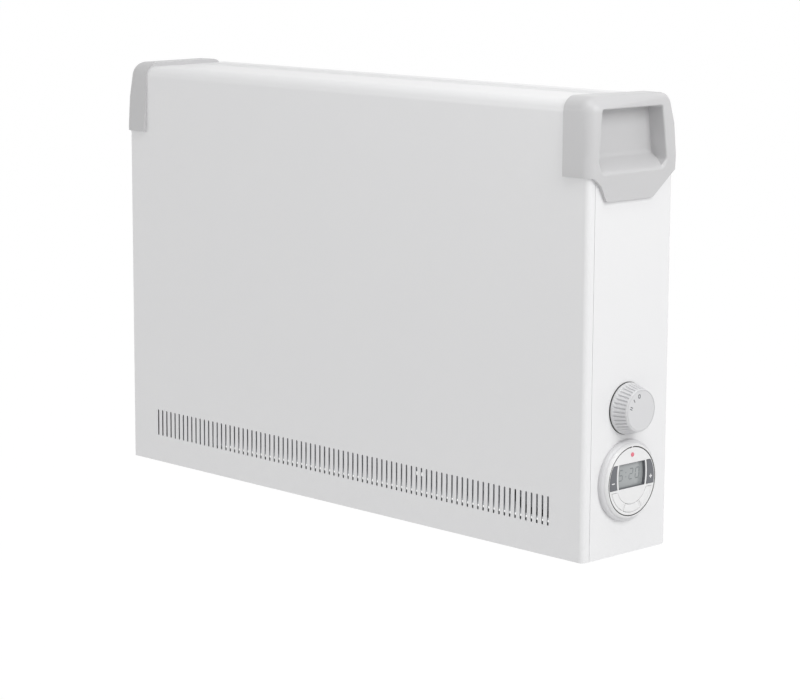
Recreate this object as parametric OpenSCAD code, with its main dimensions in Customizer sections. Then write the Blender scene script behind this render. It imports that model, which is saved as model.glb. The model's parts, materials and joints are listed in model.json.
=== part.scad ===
// Wall convector heater: a slotted steel casing on a wall bracket, with
// moulded handle caps on the top corners, and a heat selector knob and a
// round electronic timer on the right end.
// X runs along the wall, -Y points into the room and +Z points up.
// The origin lies on the wall, in the middle of the four wall screws.
// All modules below measure height from the bottom edge of the body.

/* [Steel body] */
// Width of the steel body over its end panels
body_w = 676; // [600:1:900]
// Height of the steel body
body_h = 437; // [410:1:520]
// Depth of the body from the wall to its front
body_d = 120; // [112:1:150]
// Thickness of the steel sheet
sheet_t = 1; // [0.8:0.1:1.5]
// Radius of the upright corners at the front
corner_r = 5; // [3:0.5:8]
// Radius of the bend between the front and the top
top_bend_r = 12; // [6:0.5:16]
// Depth of the front casing's returns on the two ends
return_d = 9.5; // [9:0.5:14]
// Width of the seam between a return and the end panel
seam_gap = 0.5; // [0.2:0.1:1]
// Depth of the recess for the wall bracket behind the back panel
recess_d = 13; // [11:0.5:18]
// Width of the inward flanges of the end panels
flange_w = 14; // [10:1:20]
// Radius of the end panels' folded back edge
back_edge_r = 3; // [2:0.5:5]
// Radius of the end panels' lower back corner
foot_corner_r = 5; // [3:0.5:9]
// Height of the doubled hem along the bottom of the back panel
hem_h = 13.5; // [8:0.5:20]
// Width of the open inlet between the bottom grille and the back panel
inlet_gap = 11; // [8:0.5:15]

/* [Air slots] */
// Distance between the middles of neighbouring slots
slot_pitch = 7.15; // [6:0.05:10]
// Width of the front and top slots
slot_w = 2.3; // [1.6:0.1:3.2]
// Height of the front slots
front_slot_h = 29; // [20:1:50]
// Height of the front slots' lower end above the bottom edge
front_slot_z = 29.4; // [20:0.2:50]
// Width of plain steel left at each end of a row of slots
slot_margin = 44.5; // [43:0.5:70]
// Length of the outlet slots in the top
top_slot_len = 30; // [20:1:60]
// Distance from the wall to the outlet slots
top_slot_back = 17; // [17:1:30]
// Width of the inlet slots in the bottom grille
grille_slot_w = 3.6; // [2.5:0.1:3.9]
// Length of the inlet slots in the bottom grille
grille_slot_len = 66; // [40:1:68]

/* [Handle caps] */
// Height of the caps above the top of the body
cap_rise = 3.8; // [3:0.2:6]
// Distance from the top of the body down to the caps' lower rim
cap_drop = 71; // [69:1:76]
// Reach of the caps past the end panels at their lower rim
cap_side = 4.5; // [4:0.25:6]
// Reach of the caps before the casing at their lower rim
cap_front = 3.8; // [3.2:0.1:5]
// Draw-in of the caps' sides between their lower rim and their top
cap_draw_side = 1.5; // [0.5:0.1:2]
// Draw-in of the caps' front between their lower rim and their top
cap_draw_front = 2.8; // [1:0.1:3]
// Draw-in of the caps' back between their lower rim and their top
cap_draw_back = 4; // [0.5:0.1:5]
// Radius of the caps' upright edges at their lower rim
cap_edge_r = 12; // [9:0.5:14]
// Radius of the caps' front top edge
cap_top_r = 16; // [12:0.5:18]
// Radius of the caps' back top edge
cap_back_r = 14; // [6:0.5:15]
// Wall of the caps
cap_wall = 2.5; // [2:0.1:3]
// Width of a cap's front strip on the casing at its lower rim
cap_strip_low = 29.5; // [26:0.5:31]
// Width of a cap's front strip at the top
cap_strip_top = 33.5; // [32:0.5:36]
// Width of a cap's top at the wall
cap_strip_back = 21.5; // [21:0.5:30]
// Depth of the tab below a cap's side
tab_drop = 23.5; // [20:0.5:30]
// Thickness of the tab's lower edge
tab_t = 3; // [2:0.25:3.5]
// Width of the tab along its lower edge
tab_w = 62; // [50:1:66]
// Depth of the finger pocket
pocket_d = 19.5; // [15:0.5:20]
// Width of the finger pocket along its top
pocket_w_top = 85; // [70:1:88]
// Width of the finger pocket where it is widest
pocket_w_low = 95; // [86:1:98]
// Distance from the top of the body down to the pocket's top
pocket_top = 8.5; // [7.5:0.5:11]
// Distance from the top of the body down to the pocket's lower lip
pocket_lip = 66; // [60:0.5:66]
// Rise of the pocket's scooped floor from its lip to its back
pocket_scoop = 12; // [8:0.5:14]
// Wall of the pocket inside the cap
pocket_wall = 2; // [1.6:0.1:2.2]

/* [Controls] */
// Distance from the wall to the middle of the knob and the timer
control_y = 60; // [56:0.5:62]
// Height of the knob's middle above the bottom edge
knob_z = 142.5; // [141:0.5:180]
// Height of the timer's middle above the bottom edge
timer_z = 72.6; // [60:0.2:74]
// Radius of the knob at its base
knob_base_r = 25; // [22:0.5:27]
// Radius of the knob at its face
knob_face_r = 20.5; // [18:0.5:22]
// Length of the knob
knob_len = 17; // [15:0.5:22]
// Gap between the knob and the end panel
knob_gap = 0.9; // [0.6:0.1:1.5]
// Number of flutes round the knob
flute_count = 36; // [24:1:40]
// Radius of each flute
flute_r = 0.9; // [0.6:0.1:1.1]
// Radius of the selector spindle
spindle_r = 3; // [2.5:0.1:3.5]
// Running clearance round the spindle in its switch
spindle_fit = 0.05; // [0.03:0.01:0.08]

/* [Timer] */
// Outer radius of the timer's trim ring
trim_r = 39.8; // [39:0.1:41]
// Height of the trim ring off the end panel
trim_h = 5.4; // [4.5:0.1:5.6]
// Radius between the trim ring and the front ring
front_ring_r = 36.6; // [36:0.1:37.5]
// Radius of the timer's face
face_r = 33.5; // [33:0.1:34]
// Distance of the timer's face from the end panel
face_h = 8.4; // [8:0.1:9.5]
// Thickness of the timer's face
face_t = 1.6; // [1.2:0.1:2]
// Outer radius of the timer case behind the end panel
case_r = 34; // [33.6:0.1:34.5]
// Depth of the timer case behind the end panel
case_d = 27; // [24:0.5:29]
// Wall of the timer case
case_wall = 1.5; // [1.2:0.1:2]
// Width of the display window
window_w = 39.5; // [34:0.5:40]
// Height of the display window
window_h = 24; // [20:0.5:25]
// Height of the window's middle above the timer's middle
window_rise = 6; // [4:0.5:7]
// Width of the dividers between the window and its keys
divider_w = 2; // [1.8:0.1:2.4]
// Radius of the curve of the dividers
divider_r = 60; // [50:1:80]
// Inner radius of the three arc keys
arc_in_r = 22; // [21.8:0.1:23]
// Outer radius of the three arc keys
arc_out_r = 30.2; // [28:0.1:30.4]
// Gap round every key
key_gap = 0.3; // [0.2:0.05:0.4]
// Travel of every key
key_travel = 0.6; // [0.4:0.1:0.8]

/* [Heating] */
// Width of the bay for the controls between a partition and its end
bay_w = 42; // [38:0.5:43.5]
// Height of the elements above the bottom edge
element_z = 122; // [100:1:150]
// Radius of an element's tube
element_r = 4.2; // [3:0.1:5]
// Clear space behind the rear fins
rear_room = 9; // [7:0.5:12]
// Clear space between the rear and the front fins
middle_room = 7; // [4:0.5:10]
// Clear space before the front fins
front_room = 5; // [4:0.5:9]
// Height of a fin
fin_h = 42; // [30:1:50]
// Thickness of a fin
fin_t = 1.2; // [0.8:0.1:2]
// Distance between neighbouring fins
fin_pitch = 14; // [10:0.5:20]
// Height of the partitions
partition_h = 372; // [330:1:380]

/* [Wall bracket] */
// Distance between the left and right wall screws
screw_span_x = 300; // [200:1:360]
// Distance between the upper and lower wall screws
screw_span_z = 240; // [200:1:250]
// Height of the lower wall screws above the bottom edge
lower_screw_z = 90; // [70:1:100]
// Radius of the wall screw holes
wall_hole_r = 3; // [2.5:0.1:4]
// Thickness of the bracket's steel
bracket_t = 1.5; // [1.2:0.1:2.5]
// Width of a hanging hook
hook_w = 30; // [20:1:40]
// Height of a hook's lip
hook_lip = 14; // [10:0.5:18]
// Distance from the middle of the body to a hook
hook_x = 215; // [205:1:240]

/* [Hidden] */
$fn = 64;

// Colours as photographed
enamel = [0.95, 0.95, 0.95];
cap_grey = [0.8, 0.8, 0.81];
zinc = [0.72, 0.74, 0.76];
aluminium = [0.78, 0.79, 0.8];
brass = [0.8, 0.65, 0.3];
black_rubber = [0.15, 0.15, 0.16];
white_plastic = [0.96, 0.96, 0.96];
key_grey = [0.45, 0.46, 0.48];
display_grey = [0.62, 0.64, 0.65];
ceramic = [0.93, 0.91, 0.85];
board_green = [0.1, 0.4, 0.22];
lamp_red = [0.9, 0.3, 0.35];

// Places worked out from the sizes above
half_w = body_w / 2;
origin_z = lower_screw_z + screw_span_z / 2;
inner_half = half_w - sheet_t;
panel_front = -(body_d - return_d - seam_gap);
back_y = -recess_d;
back_front_y = back_y - sheet_t;
plate_z = 2 * sheet_t;
part_fit = 0.2;
overcut = 1;

// Places of the handle caps
cap_rim_z = body_h - cap_drop;
cap_top_z = body_h + cap_rise;
cap_back_y = -0.3;
pocket_y = -(body_d / 2 + 2);
pocket_top_z = body_h - pocket_top;
pocket_lip_z = body_h - pocket_lip;
pocket_back_x = half_w + cap_side - pocket_d;
// The steel ends at this height below the caps, and at this distance from the middle
seat_z = pocket_lip_z - 2 * pocket_wall;
seat_x = half_w - pocket_d - 0.5;
boss_in = 7.5;
boss_half_span = 22;
boss_places = [for (side = [-1, 1]) [half_w - boss_in, pocket_y + side * boss_half_span]];
boss_bore = 4;

// Places of the controls
end_x = half_w;
knob_back_x = end_x + knob_gap;
switch_depth = 26;
bush_len = 5;
face_front_x = end_x + face_h;
face_back_x = face_front_x - face_t;
ring_joint_x = end_x + trim_h;
case_back_x = end_x - case_d;
board_t = 1.6;
board_x = end_x - 2;
key_flange_t = 1;
key_flange_w = 0.9;
key_slack = 0.3;
key_proud = 0.2;
stem_front_x = face_back_x - key_slack - key_flange_t;
stem_len = 1.5;
switch_top_x = stem_front_x - stem_len - key_travel - key_slack;
band_low = window_rise - window_h / 2;
band_high = window_rise + window_h / 2;
divider_out = window_w / 2 + divider_w;
arc_half = 26;
arc_gap_deg = 1.6;
arc_top = band_low - 2.2;

// Places of the heating parts
partition_x = half_w - bay_w;
partition_front = -(body_d - 25);
partition_flange = 12;
fin_d = (back_front_y - partition_front - rear_room - middle_room - front_room) / 2;
element_back_y = back_front_y - rear_room - fin_d / 2;
element_front_y = element_back_y - fin_d - middle_room;
bush_r = 9;
bush_flange_r = 12;
bush_flange_t = 3;
stud_r = 2;
stud_len = 8;

// Places of the screws
screw_r = 1.4;
screw_hole_r = screw_r + 0.1;
screw_head_r = 2.6;
screw_head_h = 1.6;
low_head_h = 1.2;
casing_screw_len = 7;
partition_screw_len = 6;
inner_screw_x = 90;
outer_screw_in = 98;
side_screw_in = 15;
back_screw_y = -35;
front_screw_y = -body_d + return_d - 3.4;
side_screw_x = half_w - flange_w / 2;
casing_screw_places = [for (side = [-1, 1]) each [
    [side * inner_screw_x, front_screw_y], [side * (half_w - outer_screw_in), front_screw_y],
    [side * side_screw_x, back_screw_y], [side * side_screw_x, panel_front + side_screw_in]]];
partition_screw_x = partition_x + partition_flange - 4.5;
partition_screw_zs = [60, 200, 320];

// Places of the wall bracket
rail_low = lower_screw_z + screw_span_z - 20;
tongue_z = lower_screw_z + screw_span_z + 24;
hook_clear = 0.5;
slot_top_z = tongue_z + bracket_t;
hang_slot_h = hook_lip + bracket_t + 3;
foot_z = lower_screw_z - 24;

// Lets one drawing stand on either end of the body
module at_end(side) {
    if (side > 0) children();
    else mirror([1, 0, 0]) children();
}

// Moves a drawing measured from the bottom edge to the wall screws' frame
module on_wall() {
    translate([0, 0, -origin_z]) children();
}

// Extrudes a drawing made in Y and Z along X, from x0 to x1
module along_x(x0, x1) {
    translate([x0, 0, 0]) rotate([90, 0, 90]) linear_extrude(x1 - x0) children();
}

// Extrudes a drawing made in X and Z along Y, from y0 to y1
module along_y(y0, y1) {
    translate([0, y1, 0]) rotate([90, 0, 0]) linear_extrude(y1 - y0) children();
}

// Plain box between two corners
module box(low, high) {
    translate(low) cube(high - low);
}

// Takes one corner off a drawing, down to an arc
module corner_cut(corner, inward, r) {
    if (r > 0)
        difference() {
            translate([corner.x - (inward.x > 0 ? overcut : r), corner.y - (inward.y > 0 ? overcut : r)])
                square(r + overcut);
            translate(corner + inward * r) circle(r);
        }
}

// Rectangle with its own radius at each corner, from lower left round to upper left
module soft_rect(low, high, r) {
    difference() {
        translate(low) square(high - low);
        corner_cut(low, [1, 1], r[0]);
        corner_cut([high.x, low.y], [-1, 1], r[1]);
        corner_cut(high, [-1, -1], r[2]);
        corner_cut([low.x, high.y], [1, -1], r[3]);
    }
}

// Points of a polygon whose corners [x, y, radius] are rounded off
function turn(a) = atan2(sin(a), cos(a));
function soft_points(p, steps = 5) = [
    for (i = [0 : len(p) - 1])
        let (
            here = [p[i].x, p[i].y],
            back = p[(i + len(p) - 1) % len(p)],
            next = p[(i + 1) % len(p)],
            a_in = atan2(here.y - back.y, here.x - back.x),
            bend = turn(atan2(next.y - here.y, next.x - here.x) - a_in),
            run = p[i].z * tan(abs(bend) / 2),
            start = here - run * [cos(a_in), sin(a_in)],
            side = bend > 0 ? 1 : -1,
            middle = start + side * p[i].z * [-sin(a_in), cos(a_in)]
        )
        for (k = [0 : p[i].z > 0 ? steps : 0])
            p[i].z > 0
                ? middle + side * p[i].z * [sin(a_in + bend * k / steps), -cos(a_in + bend * k / steps)]
                : here
];

// Slot with round ends, long along the second axis
module slot_2d(w, len) {
    square([w, len - w], center = true);
    for (end = [-1, 1]) translate([0, end * (len - w) / 2]) circle(d = w);
}

// Row of slots spread evenly about the middle of the body
slot_count = floor((body_w - 2 * slot_margin) / slot_pitch) + 1;
module slot_row_2d(w, len) {
    for (i = [0 : slot_count - 1])
        translate([(i - (slot_count - 1) / 2) * slot_pitch, 0]) slot_2d(w, len);
}

// Round lead along a route: one straight piece between each pair of points
module lead(route, r) {
    for (i = [0 : len(route) - 2]) {
        step = route[i + 1] - route[i];
        flat = norm([step.x, step.y]);
        translate(route[i]) rotate([0, atan2(flat, step.z), atan2(step.y, step.x)])
            cylinder(r = r, h = norm(step));
    }
    // Each bend is a little fuller than the lead
    for (i = [1 : len(route) - 2]) translate(route[i]) sphere(r * 1.08);
}

// Route with each corner turned into a curve that starts at a given reach from it
function unit(v) = v / norm(v);
function curved(route, reach, steps = 4) = [
    route[0],
    for (i = [1 : len(route) - 2])
        let (
            a = route[i] + reach * unit(route[i - 1] - route[i]),
            c = route[i] + reach * unit(route[i + 1] - route[i])
        )
            for (k = [0 : steps])
                let (t = k / steps) (1 - t) * (1 - t) * a + 2 * t * (1 - t) * route[i] + t * t * c,
    route[len(route) - 1]
];

// Thick lead: one closed tube swept along a curved route, level with a given direction
module swept_lead(route, r, level, sides = 12) {
    last = len(route) - 1;
    points = [for (i = [0 : last])
        let (
            ahead = unit(route[min(i + 1, last)] - route[max(i - 1, 0)]),
            across = unit(cross(level, ahead)),
            over = cross(ahead, across)
        )
        for (k = [0 : sides - 1])
            route[i] + r * (cos(k * 360 / sides) * across + sin(k * 360 / sides) * over)];
    faces = concat(
        [[for (k = [0 : sides - 1]) k]],
        [for (i = [0 : last - 1], k = [0 : sides - 1])
            let (n = (k + 1) % sides, low = i * sides, high = low + sides)
                [low + k, high + k, high + n, low + n]],
        [[for (k = [sides - 1 : -1 : 0]) last * sides + k]]);
    polyhedron(points, faces);
}

// Pan head screw with its head towards -Z and its shank along +Z
module pan_screw(head_r, head_h, shank_r, shank_len) {
    difference() {
        translate([0, 0, -head_h]) cylinder(r = head_r, h = head_h);
        for (turned = [0, 90])
            rotate(turned) box([-head_r * 0.6, -head_r * 0.12, -head_h - overcut],
                [head_r * 0.6, head_r * 0.12, -head_h * 0.5]);
    }
    cylinder(r = shank_r, h = shank_len);
}

// Outside of the steel body, set in by a given amount
module body_form(inset, low) {
    intersection() {
        translate([0, 0, low]) linear_extrude(body_h - inset - low)
            soft_rect([-half_w + inset, -body_d + inset], [half_w - inset, 0],
                [corner_r - inset, corner_r - inset, 0, 0]);
        along_x(-half_w, half_w)
            soft_rect([-body_d + inset, low], [0, body_h - inset], [0, 0, 0, top_bend_r - inset]);
    }
}

// Front, top, short returns and a bottom flange from one sheet
module front_casing() {
    back_hem = 10;
    color(enamel) on_wall() difference() {
        union() {
            difference() {
                body_form(0, 0);
                translate([0, 0, -overcut]) body_form(sheet_t, 0);
                // What is left of the sheet's inside below the top
                body_form(sheet_t, sheet_t);
            }
            // Flange folded in along the bottom of the front
            intersection() {
                body_form(0, 0);
                box([-inner_half, -body_d, 0], [inner_half, -body_d + return_d, sheet_t]);
            }
            // Hem folded down along the back of the top
            box([-seat_x, -sheet_t, body_h - sheet_t - back_hem], [seat_x, 0, body_h - sheet_t]);
        }
        for (side = [-1, 1]) at_end(side) {
            // The returns end at the seam with the end panels
            box([inner_half - part_fit / 2, -body_d + return_d, -overcut],
                [half_w + overcut, overcut, body_h - sheet_t]);
            // The corner is left open under the handle cap
            box([seat_x, -body_d - overcut, seat_z], [half_w + overcut, overcut, body_h + overcut]);
        }
        for (place = casing_screw_places) translate([place.x, place.y, -overcut])
            cylinder(r = screw_hole_r, h = 3 * sheet_t);
        // Air slots low on the front
        translate([0, 0, front_slot_z + front_slot_h / 2]) along_y(-body_d - overcut, -body_d + 2 * sheet_t)
            slot_row_2d(slot_w, front_slot_h);
        // Warm air slots in the top
        translate([0, -top_slot_back - top_slot_len / 2, body_h - 2 * sheet_t]) linear_extrude(3 * sheet_t)
            slot_row_2d(slot_w, top_slot_len);
    }
}

// Folded tray of an end panel before its holes are made
module end_panel_form(inset) {
    front = panel_front - (inset > 0 ? overcut : 0);
    inside = half_w - flange_w - (inset > 0 ? overcut : 0);
    top = seat_z - inset;
    intersection() {
        along_x(inside, half_w - inset)
            soft_rect([front, inset], [-inset, top], [0, foot_corner_r - inset, 0, 0]);
        linear_extrude(body_h)
            soft_rect([inside, front], [half_w - inset, -inset], [0, 0, back_edge_r - inset, 0]);
    }
}

module end_panel_sheet() {
    tongue = return_d - corner_r - 2;
    difference() {
        union() {
            difference() {
                end_panel_form(0);
                end_panel_form(sheet_t);
            }
            // Tongue that backs the seam from inside
            box([inner_half - sheet_t, panel_front - seam_gap - tongue, plate_z + overcut],
                [inner_half, panel_front + 3 * sheet_t, seat_z - plate_z]);
        }
        for (place = boss_places) translate([place.x, place.y, seat_z - 2 * sheet_t])
            cylinder(r = screw_hole_r, h = 3 * sheet_t);
        for (place = casing_screw_places) translate([place.x, place.y, -overcut])
            cylinder(r = screw_hole_r, h = 3 * sheet_t);
    }
}

module left_end_panel() {
    color(enamel) on_wall() at_end(-1) end_panel_sheet();
}

// The right panel has holes for the selector bush and the timer case
module right_end_panel() {
    color(enamel) on_wall() difference() {
        end_panel_sheet();
        translate([inner_half - overcut, -control_y, knob_z]) rotate([0, 90, 0])
            cylinder(r = spindle_r + 2.2, h = 2 * sheet_t + overcut);
        translate([inner_half - overcut, -control_y, timer_z]) rotate([0, 90, 0])
            cylinder(r = case_r + part_fit, h = 2 * sheet_t + overcut);
    }
}

// Back sheet, recessed from the wall to leave room for the bracket
gland_x = 152;
gland_z = 36;
gland_hole_r = 8;
vent_spot_x = 11;
module back_panel() {
    hook_slot_w = hook_w + 4;
    vent_z = 18.5;
    color(zinc) on_wall() difference() {
        union() {
            box([-inner_half, back_front_y, sheet_t], [inner_half, back_y, seat_z - sheet_t - part_fit]);
            box([-seat_x, back_front_y, seat_z - 2 * sheet_t], [seat_x, back_y, body_h - sheet_t]);
            for (side = [-1, 1]) at_end(side)
                box([inner_half - sheet_t, back_y, plate_z],
                    [inner_half, -back_edge_r, seat_z - sheet_t - part_fit]);
            // Flange under the casing's top
            box([-seat_x, back_y, body_h - 2 * sheet_t], [seat_x, -sheet_t, body_h - sheet_t]);
            // Hem doubled along the bottom edge
            box([-partition_x + partition_flange, back_front_y - sheet_t, sheet_t],
                [partition_x - partition_flange, back_front_y, sheet_t + hem_h]);
        }
        // Slots that hang on the bracket's hooks
        for (side = [-1, 1])
            box([side * hook_x - hook_slot_w / 2, back_front_y - overcut, slot_top_z - hang_slot_h],
                [side * hook_x + hook_slot_w / 2, back_y + overcut, slot_top_z]);
        translate([gland_x, back_y + overcut, gland_z]) rotate([90, 0, 0])
            cylinder(r = gland_hole_r + part_fit, h = 4 * sheet_t);
        translate([vent_spot_x, 0, vent_z]) along_y(back_front_y - 2 * sheet_t, back_y + overcut)
            rotate(90) slot_2d(4, 13);
        for (side = [-1, 1], z = partition_screw_zs)
            translate([side * partition_screw_x, back_y + overcut, z]) rotate([90, 0, 0])
                cylinder(r = screw_hole_r, h = 3 * sheet_t);
    }
}

// Slotted inlet plate that lies on the flanges of the casing and end panels
module bottom_grille() {
    plate_front = -body_d + sheet_t + part_fit;
    plate_back = back_front_y - inlet_gap;
    color(zinc) on_wall() translate([0, 0, sheet_t]) linear_extrude(sheet_t) difference() {
        soft_rect([-inner_half + part_fit, plate_front], [inner_half - part_fit, plate_back],
            [corner_r, corner_r, 0, 0]);
        translate([0, (plate_front + plate_back) / 2]) slot_row_2d(grille_slot_w, grille_slot_len);
        for (place = casing_screw_places) translate(place) circle(screw_hole_r);
    }
}

// Outline of a cap seen from the side: straight at the front, with a tab below
cap_outline = let (
        reach = 20,
        front = pocket_y - tab_w / 2,
        back = pocket_y + tab_w / 2,
        low = cap_rim_z - tab_drop
    ) [
        [-body_d - reach, cap_rim_z, 0], [front - 24, cap_rim_z, 3],
        [front - 13.5, cap_rim_z - 8, 5], [front - 5, low, 4],
        [back - 1, low, 5], [back + 18.5, cap_rim_z - 8, 12],
        [back + 30, cap_rim_z + 1, 4], [reach, cap_rim_z + 3, 0],
        [reach, cap_top_z + reach, 0], [-body_d - reach, cap_top_z + reach, 0]
    ];

// One level of the moulding, set in by a wall: two balls in front, and behind
// them small balls along the round of the back edge
module cap_level(z, r, back_r, side_draw, front_draw, back_draw, inset) {
    small_r = 6;
    least_r = 1;
    x_in = seat_x - 20;
    x_out = half_w + cap_side - side_draw;
    y_front = -body_d - cap_front + front_draw + r;
    for (x = [x_in, x_out - r]) translate([x, y_front, z]) sphere(r - inset, $fn = 32);
    ball = max(min(back_r, small_r) - inset, least_r);
    round_r = max(back_r - small_r, 0);
    for (x = [x_in, x_out - inset - ball], a = round_r > 0 ? [0 : 22.5 : 90] : [0])
        translate([x, cap_back_y - back_draw - inset - ball - round_r * (1 - cos(a)),
            z + r - inset - ball - round_r * (1 - sin(a))]) sphere(ball, $fn = 20);
}

module cap_form(inset) {
    tab_side = cap_side - tab_t;
    hull() {
        cap_level(cap_rim_z - tab_drop - 14, cap_edge_r, 1, tab_side, 0, 0, inset);
        cap_level(cap_rim_z + 4, cap_edge_r, 1, 0, 0, 0, inset);
        cap_level(cap_rim_z + cap_drop / 2, cap_edge_r, 3, cap_draw_side / 3, cap_draw_front * 0.6,
            cap_draw_back / 3, inset);
        cap_level(cap_top_z - cap_top_r, cap_top_r, cap_back_r, cap_draw_side, cap_draw_front,
            cap_draw_back, inset);
    }
}

// Steel that the cap sits on
module cap_seat() {
    difference() {
        body_form(0, 0);
        box([seat_x + part_fit, -body_d - overcut, seat_z + part_fit / 2],
            [half_w + overcut, overcut, body_h + overcut]);
    }
}

// Hollow of the finger pocket; grow makes the shell round it
module pocket_form(grow, front) {
    lip = pocket_lip_z - grow;
    top = pocket_top_z + grow;
    low_half = pocket_w_low / 2 + grow;
    top_half = pocket_w_top / 2 + grow;
    back_x = pocket_back_x - grow;
    corner = 3 + grow;
    intersection() {
        translate([0, pocket_y, 0]) along_x(back_x, front) polygon(soft_points([
            [-top_half, top, corner], [-low_half, lip + 9, 5], [-low_half + 6, lip, 5],
            [low_half - 5, lip, 5], [low_half + 1, lip + 7, 5], [top_half, top, corner]]));
        // Floor that rises towards the back of the pocket, with a round inner edge
        along_y(-body_d, 0) polygon(soft_points([
            [back_x, lip + pocket_scoop, 7], [half_w + cap_side - 2, lip, 6], [front + 6, lip - 2, 0],
            [front + 6, top + 5, 0], [back_x, top + 5, 0]]));
    }
}

// Moulded corner cap with a finger pocket that reaches into the body
module handle_cap() {
    difference() {
        union() {
            difference() {
                intersection() {
                    cap_form(0);
                    along_x(half_w - cap_strip_top - 20, half_w + cap_side + 5)
                        polygon(soft_points(cap_outline));
                    // The top narrows towards the wall
                    linear_extrude(2 * body_h) polygon([
                        [half_w - cap_strip_top - 10, -body_d - 20], [half_w - cap_strip_top - 10, -body_d],
                        [half_w - cap_strip_top, -body_d + cap_top_r], [half_w - cap_strip_back, 0],
                        [half_w - cap_strip_back, 20], [half_w + 30, 20], [half_w + 30, -body_d - 20]]);
                    // Inner edge of the front strip and of the top
                    along_y(-body_d - 20, 10) polygon([
                        [half_w - cap_strip_low, cap_rim_z - tab_drop - 10],
                        [half_w - cap_strip_low, cap_rim_z],
                        [half_w - cap_strip_top + 1.5, cap_rim_z + cap_drop * 0.85],
                        [half_w - cap_strip_top, cap_top_z + 20],
                        [half_w + 30, cap_top_z + 20], [half_w + 30, cap_rim_z - tab_drop - 10]]);
                }
                cap_seat();
                // The inside is hollow above the steel
                intersection() {
                    cap_form(cap_wall);
                    box([seat_x + part_fit, -body_d - 5, seat_z], [half_w + cap_side, 0, cap_top_z]);
                }
            }
            // Pocket with the wall that joins it to the moulding
            intersection() {
                pocket_form(pocket_wall, half_w + cap_side);
                cap_form(cap_wall / 2);
            }
            for (place = boss_places) translate([place.x, place.y, seat_z])
                cylinder(r = 4, h = pocket_lip_z + pocket_scoop - pocket_wall - seat_z);
        }
        pocket_form(0, half_w + cap_side + 5);
        for (place = boss_places) translate([place.x, place.y, seat_z - overcut])
            cylinder(r = screw_hole_r, h = boss_bore + overcut);
    }
}

module left_handle_cap() {
    color(cap_grey) on_wall() at_end(-1) handle_cap();
}

module right_handle_cap() {
    color(cap_grey) on_wall() handle_cap();
}

// Upright sheet at each end of the heating chamber
module partition() {
    x0 = partition_x;
    difference() {
        union() {
            box([x0, partition_front, plate_z], [x0 + sheet_t, back_front_y, plate_z + partition_h]);
            // Flanges to the bottom grille, the back panel and the baffle
            box([x0, partition_front, plate_z],
                [x0 + partition_flange, back_front_y - inlet_gap, plate_z + sheet_t]);
            box([x0, back_front_y - sheet_t, plate_z + 2 * sheet_t],
                [x0 + partition_flange, back_front_y, plate_z + partition_h]);
            box([x0, partition_front, baffle_low_z],
                [x0 + partition_flange, partition_front + sheet_t, plate_z + partition_h]);
        }
        for (y = [element_front_y, element_back_y])
            translate([x0 - overcut, y, element_z]) rotate([0, 90, 0])
                cylinder(r = bush_r + part_fit, h = 3 * sheet_t);
        for (z = partition_screw_zs) translate([partition_screw_x, back_front_y + overcut, z])
            rotate([90, 0, 0]) cylinder(r = screw_hole_r, h = 3 * sheet_t);
    }
}

baffle_low_z = 76;
grommet_y = back_front_y - inlet_gap - 12;
grommet_z = 14;
grommet_hole_r = 6;
cutout_rise = 52;
cutout_z = element_z + cutout_rise;
cutout_r = 8;
module left_partition() {
    color(zinc) on_wall() at_end(-1) partition();
}

module right_partition() {
    color(zinc) on_wall() difference() {
        partition();
        translate([partition_x - overcut, grommet_y, grommet_z]) rotate([0, 90, 0])
            cylinder(r = grommet_hole_r, h = 3 * sheet_t);
        translate([partition_x - overcut, element_front_y, cutout_z]) rotate([0, 90, 0])
            cylinder(r = cutout_r + part_fit, h = 3 * sheet_t);
    }
}

// Shield between the hot chamber and the front of the casing
module heat_baffle() {
    reach = partition_x + partition_flange;
    lip = 9;
    color(zinc) on_wall() {
        box([-reach, partition_front - sheet_t, baffle_low_z],
            [reach, partition_front, plate_z + partition_h]);
        // Lips that stiffen its long edges
        for (z = [baffle_low_z, plate_z + partition_h - sheet_t])
            box([-reach, partition_front - lip, z], [reach, partition_front, z + sheet_t]);
    }
}

// Sheathed tube with aluminium fins
fin_count = floor((2 * partition_x - 60) / fin_pitch) + 1;
module element() {
    tube_half = partition_x + sheet_t + bush_flange_t + 2;
    fin_corners = [3, 3, 3, 3];
    union() {
        rotate([0, 90, 0]) translate([0, 0, -tube_half]) cylinder(r = element_r, h = 2 * tube_half);
        rotate([0, 90, 0]) translate([0, 0, -tube_half - stud_len])
            cylinder(r = stud_r, h = 2 * (tube_half + stud_len));
        for (i = [0 : fin_count - 1]) {
            x = (i - (fin_count - 1) / 2) * fin_pitch;
            along_x(x - fin_t / 2, x + fin_t / 2)
                soft_rect([-fin_d / 2, -fin_h / 2], [fin_d / 2, fin_h / 2], fin_corners);
        }
    }
}

module front_element() {
    color(aluminium) on_wall() translate([0, element_front_y, element_z]) element();
}

module rear_element() {
    color(aluminium) on_wall() translate([0, element_back_y, element_z]) element();
}

// Four ceramic bushes that carry the elements in the partitions
module element_bushes() {
    color(ceramic) on_wall() for (side = [-1, 1], y = [element_front_y, element_back_y]) at_end(side)
        translate([partition_x, y, element_z]) rotate([0, 90, 0]) difference() {
            union() {
                translate([0, 0, -3]) cylinder(r = bush_r, h = 3 + 2 * sheet_t);
                translate([0, 0, sheet_t]) cylinder(r = bush_flange_r, h = bush_flange_t);
            }
            translate([0, 0, -5]) cylinder(r = element_r + spindle_fit, h = 15);
        }
}

// Strip that joins the two elements at their left ends
module element_link() {
    x = partition_x + sheet_t + bush_flange_t + 2;
    color(brass) on_wall() at_end(-1) difference() {
        along_x(x, x + 1) link_strip(element_front_y, element_back_y, element_z, 6);
        for (y = [element_front_y, element_back_y])
            translate([x - 1, y, element_z]) rotate([0, 90, 0]) cylinder(r = stud_r + spindle_fit, h = 3);
    }
}

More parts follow.
